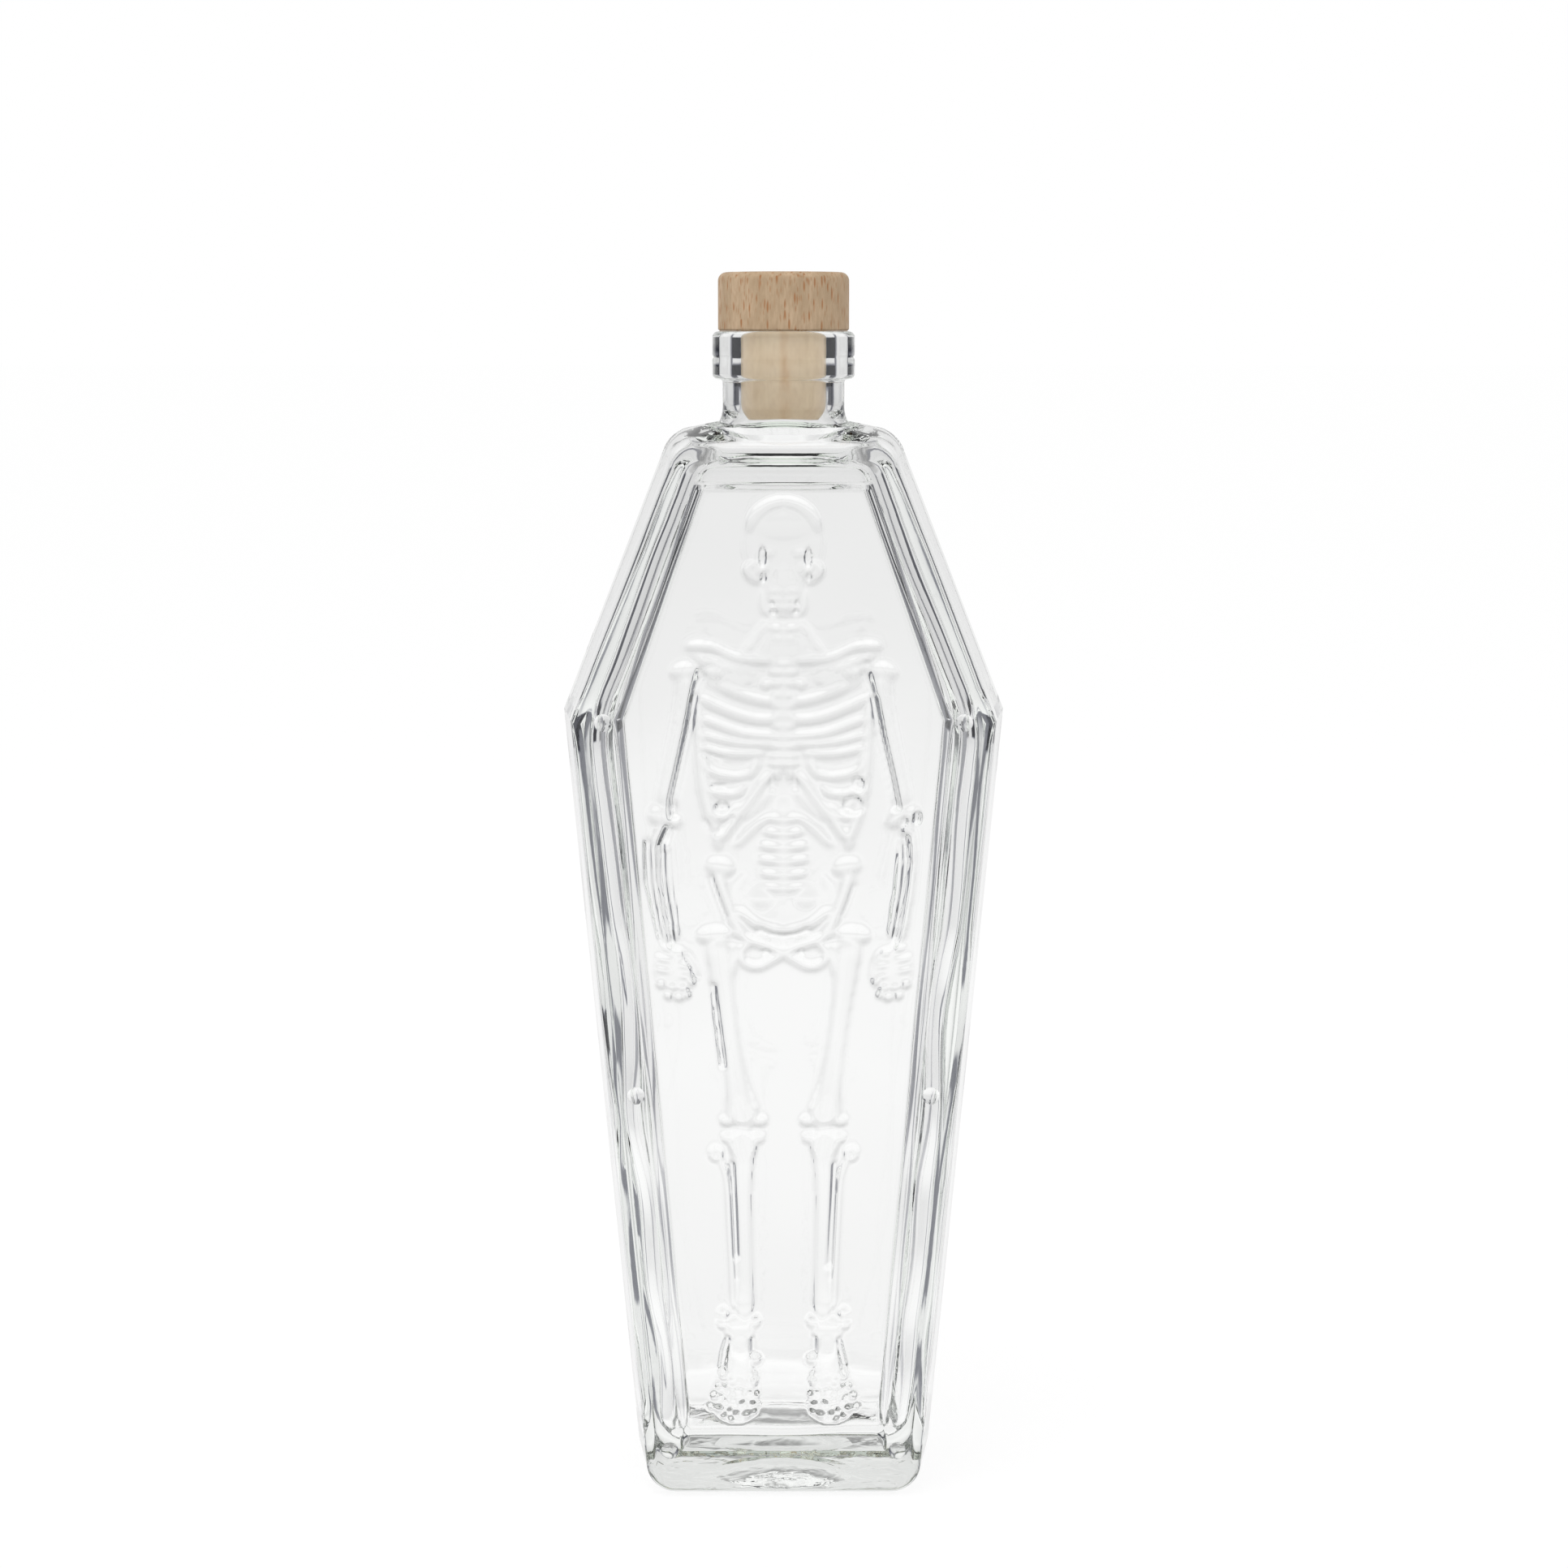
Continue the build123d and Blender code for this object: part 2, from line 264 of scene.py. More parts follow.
# %% Neck with its ring
NECK_RADIUS, RING_RADIUS = 13.6, 15.9
FLARE_Z, RING_Z, GROOVE_Z, RIM_Z = 245.9, 252.0, 256.9, 262.6
FLARE, NECK_NOOK, RING_FOOT, RIM_ROUND = 7.0, 0.7, 1.2, 1.4
GROOVE_HALF, GROOVE_DEPTH = 0.6, 0.28
neck_profile = [
    (18.6, 236.0), (18.4, 241.7),  # buried in the shoulder
    *arc(NECK_RADIUS + FLARE, FLARE_Z, FLARE, 241, 180, 8),
    *arc(NECK_RADIUS + NECK_NOOK, RING_Z - NECK_NOOK, NECK_NOOK, 180, 90, 3),
    *arc(RING_RADIUS - RING_FOOT, RING_Z + RING_FOOT, RING_FOOT, 270, 360, 5),
    (RING_RADIUS, GROOVE_Z - GROOVE_HALF),
    (RING_RADIUS - GROOVE_DEPTH, GROOVE_Z),
    (RING_RADIUS, GROOVE_Z + GROOVE_HALF),
    *arc(RING_RADIUS - RIM_ROUND, RIM_Z - RIM_ROUND, RIM_ROUND, 0, 90, 7),
]
neck = turned("neck", neck_profile)
carve(body, neck, "UNION")

# %% [markdown]
# ## Nail heads
#
# Six shallow domes sit on the frame like coffin nails. Each is the cap of a larger ball,
# whose radius follows from how wide and how high the cap shall be.

# %% Add the nail heads
NAIL_PLACES = [(39.7, 177.4), (33.0, 93.3), (25.9, 10.5)]
NAIL_RADIUS, NAIL_RISE = 2.0, 1.2
dome_radius = (NAIL_RADIUS**2 + NAIL_RISE**2) / (2 * NAIL_RISE)
for x, z in NAIL_PLACES:
    for side in (1, -1):
        start_clean()
        bpy.ops.mesh.primitive_uv_sphere_add(
            segments=32, ring_count=24, radius=dome_radius * MM,
            location=(side * x * MM, (dome_radius - NAIL_RISE - HALF_DEPTH) * MM, z * MM),
            rotation=(math.radians(90), 0, 0),
        )
        carve(body, settle(bpy.context.object, "nail"), "UNION")

# %% [markdown]
# ## The hollow inside
#
# Glass looks like glass only if it has an inside. The mould shapes the outside, but air
# shapes the inside, so the hollow has soft corners, a floor pushed up in its middle and a
# shoulder that flows into the neck. It could be a rounded block, but a block's corners stay
# stiff, so a sheet of squares is rolled into a tube whose section changes row by row.

# %% One section of the hollow
AROUND = 168
CORNER_CARE = 2.2


def section(half_width, half_depth, corner):
    """Points of a rounded rectangle, in millimetres, closest together on its corners."""
    quarter, share = np.divmod(np.arange(AROUND) * 4 / AROUND, 1)
    share = np.where(quarter % 2, 1 - share, share)
    side, top, bend = half_depth - corner, half_width - corner, CORNER_CARE * corner * math.pi / 2
    way = share * (side + bend + top)
    turn = np.clip((way - side) / bend, 0, 1) * math.pi / 2
    x = half_width - corner + corner * np.cos(turn) - np.clip(way - side - bend, 0, None)
    y = np.clip(way, 0, side) + corner * np.sin(turn)
    draft = SIDE_DRAFT / HALF_DEPTH * np.interp(half_width, [14, 28], [0, 1])
    x = x * (1 - draft * y / half_width)
    return x * np.where((quarter == 1) | (quarter == 2), -1, 1), y * np.where(quarter > 1, -1, 1)


# %% Rows from the floor up to the mouth
WALL_SIDE, WALL_FACE = 4.8, 5.6
FLOOR_Z, FLOOR_BEND, FLOOR_DOME, DOME_REACH = 10.6, 6.5, 2.6, 9.7
SHARP_CORNER, SOFT_CORNER, BEND_STEPS = 0.3, 5.7, 8
SIDES_FROM, SIDES_TO, SIDE_ROWS = 19.5, 224.0, 83
deep = HALF_DEPTH - WALL_FACE


def inner_half_width(z):
    """Half the hollow's width, eased over the waist."""
    near = z + np.linspace(-7, 7, 15)
    widths, heights = zip(*OUTLINE[:3])
    return float(np.mean(np.interp(near, heights, widths))) - WALL_SIDE


hollow_rows = []  # height, half width, half depth, corner radius
for inward in (16.2, 14.0, 11.0, 8.5, FLOOR_BEND):
    rise = FLOOR_DOME * (1 - math.cos(math.pi * (inward - FLOOR_BEND) / DOME_REACH)) / 2
    row = (FLOOR_Z + rise, inner_half_width(12) - inward, deep - inward, SHARP_CORNER)
    hollow_rows.append(row)
for step in range(1, BEND_STEPS + 1):
    angle = math.radians(90 * step / BEND_STEPS)
    z = FLOOR_Z + FLOOR_BEND * (1 - math.cos(angle))
    inward = FLOOR_BEND * (1 - math.sin(angle))
    corner = SHARP_CORNER + (SOFT_CORNER - SHARP_CORNER) * step / BEND_STEPS
    hollow_rows.append((z, inner_half_width(z) - inward, deep - inward, corner))
for z in np.linspace(SIDES_FROM, SIDES_TO, SIDE_ROWS):
    hollow_rows.append((z, inner_half_width(z), deep, SOFT_CORNER))
hollow_rows += [  # shoulder, bore and mouth
    (226.5, 25.9, 16.65, 5.8), (229.0, 24.95, 16.65, 6.0), (231.5, 23.95, 16.5, 6.2),
    (233.3, 23.2, 16.2, 6.5), (234.6, 22.3, 15.7, 6.9), (235.5, 21.0, 15.0, 7.5),
    (236.0, 19.3, 14.4, 8.4), (236.3, 17.6, 14.0, 9.5), (236.8, 16.0, 13.6, 10.8),
    (237.6, 14.8, 13.2, 12.0), (238.8, 13.8, 12.8, 12.4), (240.2, 12.9, 12.4, 12.3),
    (241.6, 12.0, 11.8, 11.7), (242.8, 11.35, 11.3, 11.25), (244.0, 10.75, 10.75, 10.74),
    (245.2, 10.3, 10.3, 10.29), (246.8, 9.95, 9.95, 9.94), (249.0, 9.72, 9.72, 9.71),
    (251.5, 9.65, 9.65, 9.64), (262.0, 9.65, 9.65, 9.64), (262.4, 9.85, 9.85, 9.84),
    (263.6, 10.2, 10.2, 10.19),
]
print("hollow of", len(hollow_rows), "rows from", hollow_rows[0][0], "to", hollow_rows[-1][0])

# %% Roll the sheet into the hollow
start_clean()
bpy.ops.mesh.primitive_grid_add(
    x_subdivisions=AROUND, y_subdivisions=len(hollow_rows) - 1, size=1
)
hollow = bpy.context.object
hollow.name = "hollow"
places = np.zeros((len(hollow_rows), AROUND + 1, 3), dtype=np.float32)
for level, (z, half_width, half_depth, corner) in enumerate(hollow_rows):
    x, y = section(half_width, half_depth, corner)
    places[level, :, 0] = np.append(x, x[0])
    places[level, :, 1] = np.append(y, y[0])
    places[level, :, 2] = z
hollow.data.vertices.foreach_set("co", (places * MM).ravel())
bpy.ops.object.mode_set(mode="EDIT")
bpy.ops.mesh.select_all(action="SELECT")
bpy.ops.mesh.remove_doubles(threshold=2 * SAME_CORNER * MM)
bpy.ops.mesh.select_mode(type="EDGE")
bpy.ops.mesh.select_all(action="DESELECT")
bpy.ops.mesh.select_non_manifold()
bpy.ops.mesh.edge_face_add()
bpy.ops.mesh.select_all(action="SELECT")
bpy.ops.mesh.normals_make_consistent(inside=False)
bpy.ops.object.mode_set(mode="OBJECT")
print("hollow skin of", len(hollow.data.polygons), "faces")

# %% [markdown]
# ### Drawn glass
#
# Where molten glass met air it froze in long, soft waves that run up the bottle. They are
# what makes the lines in the walls swell and thin. A cloud texture moves the skin, and the
# hollow is squashed along its height while that happens, so the waves come out long.

# %% Wave the inner skin
RIPPLE, CLOUD_SIZE, SQUASH, ON_FACES = 3.0, 0.021, 0.7, 0.3
waved = hollow.vertex_groups.new(name="waved")
heights = np.array([v.co.z for v in hollow.data.vertices]) / MM
weights = np.interp(heights, [10, 16, 110, 170, 215, 231], [0.6, 1.0, 1.0, 0.6, 0.6, 0.0])
flat_depth = np.array([abs(v.co.y) for v in hollow.data.vertices]) / MM
calm = np.interp(flat_depth, [deep - 2.5, deep], [1.0, ON_FACES])
weights *= np.where(heights > 17, calm, 1.0)
for index, weight in enumerate(weights):
    waved.add([index], float(weight), "REPLACE")
ripples = bpy.data.textures.new("ripples", "CLOUDS")
ripples.noise_scale = CLOUD_SIZE
ripples.noise_depth = 0
step = hollow.modifiers.new("drawn_glass", "DISPLACE")
step.texture = ripples
step.texture_coords = "LOCAL"
step.strength = RIPPLE * MM
step.mid_level = 0.5
step.vertex_group = "waved"
choose(hollow)
hollow.scale.z = SQUASH
bpy.ops.object.transform_apply(location=False, rotation=False, scale=True)
bpy.ops.object.modifier_apply(modifier="drawn_glass")
hollow.scale.z = 1 / SQUASH
bpy.ops.object.transform_apply(location=False, rotation=False, scale=True)
carve(body, hollow)

# %% Punt pressed into the underside
punt_profile = [
    (18.0, -0.3), (16.4, 0.03), (14.6, 0.3), (12.2, 0.75),
    (9.6, 1.25), (6.8, 1.7), (4.0, 2.0), (1.4, 2.1),
]
carve(body, turned("punt", punt_profile))

# %% [markdown]
# ## The skeleton, bone by bone
#
# A mould maker would model the figure first and press it into the panel after. So each
# long bone is a tapered tube along a curve, each knob a ball, flattened to its height on
# the panel. Only the left half is modelled, and a mirror makes the right.

# %% Tools for bones
PANEL_FLOOR = HALF_DEPTH - PANEL_DEPTH
TIP_REACH, TIP_SHARE = 0.8, 0.35
bones = []


def tip(end, before, width):
    """A thin last point just past a bone's end, so that the end comes out round."""
    way = Vector(end[:2]) - Vector(before[:2])
    reach = way.normalized() * width / 2 * end[2] * TIP_REACH
    return end[0] + reach.x, end[1] + reach.y, end[2] * TIP_SHARE


def bone(points, width, rise):
    """A rounded tube through points (x, z), or (x, z, share of the width)."""
    start_clean()
    curve = bpy.data.curves.new("bone", "CURVE")
    curve.dimensions = "3D"
    curve.bevel_depth = width / 2 * MM
    curve.bevel_resolution = 3
    curve.resolution_u = 5
    line = [(*point, 1.0)[:3] for point in points]
    line = [tip(line[0], line[1], width), *line, tip(line[-1], line[-2], width)]
    spline = curve.splines.new("NURBS")
    spline.points.add(len(line) - 1)
    for place, (x, z, share) in zip(spline.points, line):
        place.co = (x * MM, 0, z * MM, 1)
        place.radius = share
    spline.order_u = 3
    spline.use_endpoint_u = True
    piece = bpy.data.objects.new("bone", curve)
    bpy.context.collection.objects.link(piece)
    choose(piece)
    bpy.ops.object.convert(target="MESH")
    piece = bpy.context.object
    piece.scale = (1, rise / (width / 2), 1)
    piece.location = (0, -PANEL_FLOOR * MM, 0)
    bones.append(settle(piece, "bone"))


def knob(x, z, half_width, half_height, rise, turn=0.0):
    """A flattened ball, turned clockwise by some degrees."""
    start_clean()
    bpy.ops.mesh.primitive_uv_sphere_add(
        segments=28, ring_count=16, radius=MM,
        location=(x * MM, -PANEL_FLOOR * MM, z * MM),
        rotation=(0, math.radians(turn), 0),
        scale=(half_width, rise, half_height),
    )
    bones.append(settle(bpy.context.object, "bone"))


# %% Skull and neck
knob(0.2, 216.8, 8.8, 9.6, 1.15)
bone([(-7.6, 219.4, 0.7), (-6.4, 222.6), (-3.4, 225.0), (0.2, 225.8)], 3.4, 1.55)
knob(0.2, 220.4, 7.4, 5.4, 1.5)
knob(0.0, 208.5, 4.8, 8.6, 1.2)
knob(-3.6, 214.6, 3.4, 1.5, 1.45, -8)
knob(-4.8, 211.6, 3.4, 3.2, 1.25)
bone([(-1.0, 215.6), (-1.0, 209.6, 0.8)], 2.0, 1.35)
bone([(-5.2, 212.2, 0.7), (-7.2, 212.2), (-8.4, 211.2), (-7.4, 209.4),
      (-5.6, 208.2, 0.7)], 1.8, 1.4)
bone([(-3.2, 206.3), (0, 206.3)], 1.5, 1.55)
bone([(-3.0, 204.5), (0, 204.5)], 1.3, 1.45)
bone([(-2.6, 202.6), (0, 202.6)], 1.4, 1.5)
bone([(-4.6, 206.5, 0.7), (-4.7, 203.4), (-3.8, 201.4), (-2.6, 200.8, 0.6)], 1.5, 1.0)
bone([(-3.2, 198.2), (0, 198.0)], 1.6, 1.35)
bone([(-2.4, 196.0), (0, 195.8)], 1.5, 1.3)
bone([(-3.4, 199.2), (-5.0, 197.6), (-6.4, 195.2), (-8.6, 192.8)], 2.6, 0.8)
bone([(-3.0, 196.5), (-4.2, 194.0), (-6.0, 191.5)], 4.0, 0.8)
knob(0, 194, 5.0, 6.0, 0.9)

# %% Collar bones and shoulder blades
bone([(-20.6, 194.2, 1.1), (-17.5, 194.3), (-14.8, 193.7, 0.9), (-12.0, 192.2, 0.85),
      (-8.5, 191.3, 0.9), (-3.2, 191.0)], 2.2, 1.45)
bone([(-19.6, 192.5), (-17.0, 190.2)], 2.4, 0.9)
bone([(-16.6, 191.3), (-14.0, 190.2), (-10.0, 188.4, 0.7)], 2.0, 1.2)
knob(-14.8, 188.4, 2.6, 1.7, 1.2)
knob(-12.0, 188.0, 6.0, 4.0, 0.7)

# %% Breastbone
for height, half in (
    (190.3, 1.4), (188.4, 2.4), (186.0, 2.6), (183.4, 2.2), (181.0, 2.3), (178.8, 2.3),
    (176.5, 2.2), (174.1, 2.2), (172.0, 2.3), (169.9, 2.4), (168.1, 2.5),
):
    bone([(-half, height), (0, height)], 1.9, 1.45)
bone([(0, 190.0), (0, 168.0)], 5.2, 1.1)
knob(-3.9, 185.6, 1.0, 1.1, 1.3)
bone([(-1.6, 167.6), (-1.3, 164.9)], 1.6, 1.1)

# %% Ribs
bone([(-13.5, 185.2), (-10.0, 183.6), (-5.0, 182.1), (-1.5, 181.9)], 2.2, 1.25)
bone([(-17.9, 182.6), (-15.0, 181.0), (-10.0, 178.9), (-6.0, 177.9), (-1.5, 177.9)], 2.5, 1.3)
bone([(-18.2, 178.4), (-12.0, 175.8), (-8.0, 174.6), (-1.5, 174.3)], 2.3, 1.3)
bone([(-18.2, 174.8), (-14.0, 173.5), (-10.0, 172.7), (-5.0, 172.4), (-1.5, 172.3)], 1.9, 1.2)
bone([(-17.8, 171.8), (-14.0, 170.7), (-10.0, 170.2), (-5.0, 170.4)], 1.9, 1.25)
bone([(-17.6, 170.4), (-17.4, 167.4), (-14.5, 165.6), (-9.0, 165.1), (-6.4, 166.6),
      (-6.3, 169.2)], 1.9, 1.25)
bone([(-17.6, 166.4), (-17.0, 162.6), (-14.0, 161.2), (-9.8, 161.4), (-8.6, 163.2)], 1.9, 1.2)
bone([(-17.0, 162.0), (-16.4, 158.0), (-14.6, 156.0), (-12.0, 156.4), (-10.6, 158.6)], 2.0, 1.2)
bone([(-19.0, 183.0, 0.8), (-18.6, 176.0), (-18.4, 168.0), (-17.8, 161.5), (-16.4, 155.8),
      (-14.8, 152.4), (-14.4, 149.2, 0.8)], 2.1, 1.3)
bone([(-1.9, 166.0, 0.8), (-4.0, 165.0), (-6.4, 161.4), (-9.6, 157.4), (-12.4, 153.6),
      (-14.2, 151.2)], 2.2, 1.3)
bone([(-2.6, 162.4, 0.6), (-5.4, 159.4), (-8.0, 156.4)], 3.0, 0.55)
bone([(-2.2, 156.4, 0.8), (-5.4, 155.2), (-8.4, 152.2), (-10.6, 149.8, 0.7)], 2.2, 0.95)

# %% Lower spine
for height, half in (
    (156.0, 2.6), (152.8, 3.4), (149.7, 4.2), (146.6, 4.4), (143.5, 4.2), (140.5, 3.4),
):
    bone([(-half, height), (0, height - 0.4)], 2.5, 1.35)
bone([(0, 158.0), (0, 138.0)], 5.6, 0.95)

# %% Pelvis
knob(-14.0, 145.0, 3.3, 2.2, 1.35, 15)
bone([(-14.6, 143.6), (-13.8, 140.5), (-12.4, 136.4), (-11.0, 132.6), (-9.0, 130.2)], 3.0, 1.35)
bone([(-9.0, 143.0, 0.6), (-11.0, 140.0), (-10.2, 136.0)], 3.4, 0.5)
knob(0, 136.4, 9.0, 6.0, 0.7)
knob(-4.6, 137.6, 3.0, 2.2, 0.95)
bone([(-10.4, 135.4), (-8.0, 133.6), (-5.0, 131.4), (0, 130.5)], 2.6, 1.35)
bone([(-11.0, 130.4), (-8.0, 128.9), (-4.4, 127.2), (0, 126.4)], 2.2, 1.35)

# %% Hip rings
bone([(0, 125.2), (-2.0, 126.6), (-4.4, 128.1), (-7.4, 128.2), (-9.6, 126.4), (-9.5, 123.9),
      (-7.4, 122.4), (-4.8, 122.5), (-2.6, 124.0), (0, 125.2)], 2.0, 1.3)
bone([(-10.4, 127.6), (-11.4, 124.6, 0.7)], 1.8, 0.9)

# %% Upper arms
knob(-21.9, 188.6, 3.1, 2.1, 1.6, -8)
bone([(-21.6, 188.0), (-21.6, 184.0), (-22.4, 178.0), (-23.8, 171.0), (-25.2, 164.0),
      (-26.2, 159.0)], 4.4, 1.6)
knob(-26.6, 156.4, 3.2, 2.6, 1.6, 10)
knob(-24.2, 155.2, 1.6, 1.5, 1.2)

# %% Forearms
bone([(-26.6, 155.0), (-28.4, 151.0), (-28.2, 144.0), (-27.2, 136.0), (-25.9, 128.6)], 2.5, 1.5)
bone([(-25.9, 150.6, 0.7), (-25.9, 144.0), (-24.8, 136.0), (-23.8, 129.2)], 1.7, 1.4)

# %% Hands, with their rows of knuckles
knob(-24.0, 121.8, 5.2, 5.6, 1.1, -18)
for x, z, half in (
    (-25.8, 126.6, 1.6), (-22.8, 125.6, 1.6), (-26.4, 124.2, 2.4), (-22.2, 122.8, 2.3),
    (-26.6, 121.7, 2.4), (-22.0, 120.4, 2.1),
):
    knob(x, z, half, 0.95, 1.45, 12)
for x, z, radius in (
    (-27.2, 118.6, 1.3), (-24.8, 118.0, 1.35), (-22.4, 117.8, 1.3), (-20.7, 119.2, 1.2),
    (-25.6, 116.0, 1.15), (-23.3, 115.6, 1.2), (-21.6, 116.2, 1.0),
):
    knob(x, z, radius, radius * 0.9, 1.45)

# %% Thighs
knob(-15.6, 129.6, 3.9, 2.1, 1.55, -6)
bone([(-14.6, 128.0, 1.25), (-14.0, 122.0, 1.1), (-13.0, 114.0, 0.9), (-11.8, 105.0, 0.82),
      (-10.6, 97.0, 0.98), (-9.6, 91.0, 1.35), (-9.0, 88.4, 1.6)], 5.2, 1.6)
knob(-12.4, 122.6, 2.2, 5.0, 1.2, 12)
for x in (-12.6, -9.4, -5.4):
    knob(x, 87.2, 1.9, 1.3, 1.6)

# %% Shins and knees
for x in (-12.2, -9.0, -6.0):
    knob(x, 83.2, 2.0, 1.3, 1.5)
bone([(-9.2, 82.6, 1.9), (-9.0, 79.0, 1.2), (-9.1, 72.0, 0.98), (-8.8, 60.0, 0.82),
      (-8.6, 48.0, 0.9), (-8.8, 43.0, 1.15)], 4.4, 1.55)
knob(-15.2, 79.6, 1.9, 1.9, 1.35)
bone([(-14.4, 78.6, 0.8), (-12.6, 74.0), (-12.2, 64.0), (-11.6, 52.0), (-11.4, 44.0)], 1.7, 1.35)

# %% Ankles and feet
knob(-13.6, 42.4, 1.4, 1.2, 1.3)
knob(-13.7, 39.8, 1.6, 1.3, 1.45)
knob(-6.6, 40.4, 1.6, 1.5, 1.4)
knob(-10.0, 38.6, 3.8, 3.0, 1.3)
bone([(-9.9, 38.0, 1.0), (-9.9, 34.0, 0.95), (-9.9, 30.0, 1.25), (-10.2, 27.0, 1.3)], 5.6, 1.4)
knob(-6.3, 31.6, 1.35, 1.1, 1.5)
knob(-10.9, 21.6, 5.6, 5.4, 1.35, 14)
for x, z, radius in (
    (-13.6, 27.5, 1.0), (-11.5, 26.9, 1.5), (-8.9, 27.2, 1.1), (-6.9, 26.6, 1.2),
    (-14.8, 25.3, 0.8), (-12.9, 24.6, 1.1), (-10.2, 24.6, 1.3), (-7.6, 24.2, 1.0),
    (-6.1, 23.2, 0.7), (-15.6, 22.9, 1.1), (-13.3, 22.1, 0.9), (-11.4, 22.6, 0.8),
    (-9.4, 21.4, 1.4), (-7.0, 21.2, 0.9), (-16.5, 20.3, 0.8), (-14.6, 20.1, 1.2),
    (-12.2, 19.7, 0.8), (-10.9, 18.9, 0.9), (-8.3, 18.7, 1.1), (-13.6, 18.3, 0.7),
    (-6.6, 19.2, 0.7), (-11.9, 17.5, 0.7),
):
    knob(x, z, radius * 1.1, radius * 0.8, 1.75, 25 * math.sin(7 * x + 3 * z))
for height, drop in ((28.6, 0.2), (25.9, 0.5), (23.5, 0.9)):
    outer_end = (-14.2 - drop * 1.6, height - 0.8)
    bone([outer_end, (-11.0, height + 0.2), (-6.2, height - 0.6)], 0.9, 1.5)

# %% Join and mirror the figure
choose(*bones)
bpy.ops.object.join()
figure = bpy.context.object
step = figure.modifiers.new("other_half", "MIRROR")
step.use_clip = False
step.use_mirror_merge = False
bpy.ops.object.modifier_apply(modifier=step.name)
start_clean()
bpy.ops.mesh.primitive_plane_add(
    size=1, location=(0, -PANEL_FLOOR * MM, 0.12), rotation=(math.radians(90), 0, 0)
)
ground = bpy.context.object
ground.scale = (0.1, 0.3, 1)
settle(ground, "panel_floor")
choose(ground, figure)
bpy.ops.object.join()
print("figure of", len(bones), "pieces,", len(figure.data.polygons), "faces")

# %% [markdown]
# ## The sunken panel
#
# The panel is cut by a plug, as the real mould cut it: a fine sheet of squares whose outer
# rows climb the bevel, with the figure pressed into its middle, closed off at the front.

# %% Shape the plug
PANEL = [(20.9, 14.2), (34.8, WAIST_Z), (17.4, 227.9)]  # half width, height
BEVEL = [  # distance beyond the floor, depth under the face
    (0.35, 1.72), (0.7, 1.48), (1.55, 0.44), (1.9, 0.16), (2.35, 0.02), (2.9, -0.12),
]
COLUMNS, LOW_ROWS, HIGH_ROWS = 132, 336, 104
SIDE_STRETCH, TOP_STRETCH, FOOT_STRETCH = 1.15, 1.0, 1.6
START_AHEAD = 3


def panel_half_width(z):
    """Half the width of the panel's floor at each height."""
    (x0, z0), (x1, z1), (x2, z2) = PANEL
    low = x0 + (x1 - x0) * (z - z0) / (z1 - z0)
    high = x1 + (x2 - x1) * (z - z1) / (z2 - z1)
    return np.where(z <= z1, low, high)


margins, depths = np.array(BEVEL).T
steps = len(margins)
rows = np.concatenate([
    PANEL[0][1] - margins[::-1] * FOOT_STRETCH,
    np.linspace(PANEL[0][1], WAIST_Z, LOW_ROWS + 1),
    np.linspace(WAIST_Z, PANEL[2][1], HIGH_ROWS + 1)[1:],
    PANEL[2][1] + margins * TOP_STRETCH,
])
floor_depth = np.full(LOW_ROWS + HIGH_ROWS + 1, PANEL_DEPTH)
row_depth = np.concatenate([depths[::-1], floor_depth, depths])
across = np.linspace(-1, 1, COLUMNS + 1)
shares = np.concatenate([np.full(steps, -1.0), across, np.full(steps, 1.0)])
beyond = np.concatenate([-margins[::-1], np.zeros(COLUMNS + 1), margins]) * SIDE_STRETCH
column_depth = np.concatenate([depths[::-1], np.full(COLUMNS + 1, PANEL_DEPTH), depths])

start_clean()
bpy.ops.mesh.primitive_grid_add(
    x_subdivisions=len(shares) - 1, y_subdivisions=len(rows) - 1, size=1
)
plug = bpy.context.object
plug.name = "panel_plug"
x = shares[None, :] * panel_half_width(rows)[:, None] + beyond[None, :]
z = np.repeat(rows[:, None], len(shares), axis=1)
depth = np.minimum(row_depth[:, None], column_depth[None, :])
on_floor = depth > PANEL_DEPTH - 0.01
y = np.where(on_floor, -HALF_DEPTH - START_AHEAD, depth - HALF_DEPTH)
places = np.stack([x, y, z], axis=-1) * MM
plug.data.vertices.foreach_set("co", places.astype(np.float32).ravel())


def numbers(chosen):
    """The plug's vertex numbers where a grid of choices is true."""
    return [int(number) for number in np.flatnonzero(chosen.ravel())]


inner = plug.vertex_groups.new(name="floor")
inner.add(numbers(on_floor), 1.0, "REPLACE")
print("plug of", len(plug.data.polygons), "squares")

# %% [markdown]
# ### Crisp and soft edges
#
# Fire polish rounds a bone's edges, but not everywhere: along the arms, shins and feet the
# mould stayed sharp, and there the glass bends light so far that a thin black line stands.
# Each such place is a scored line or a small pit, and it is smoothed less than the rest.

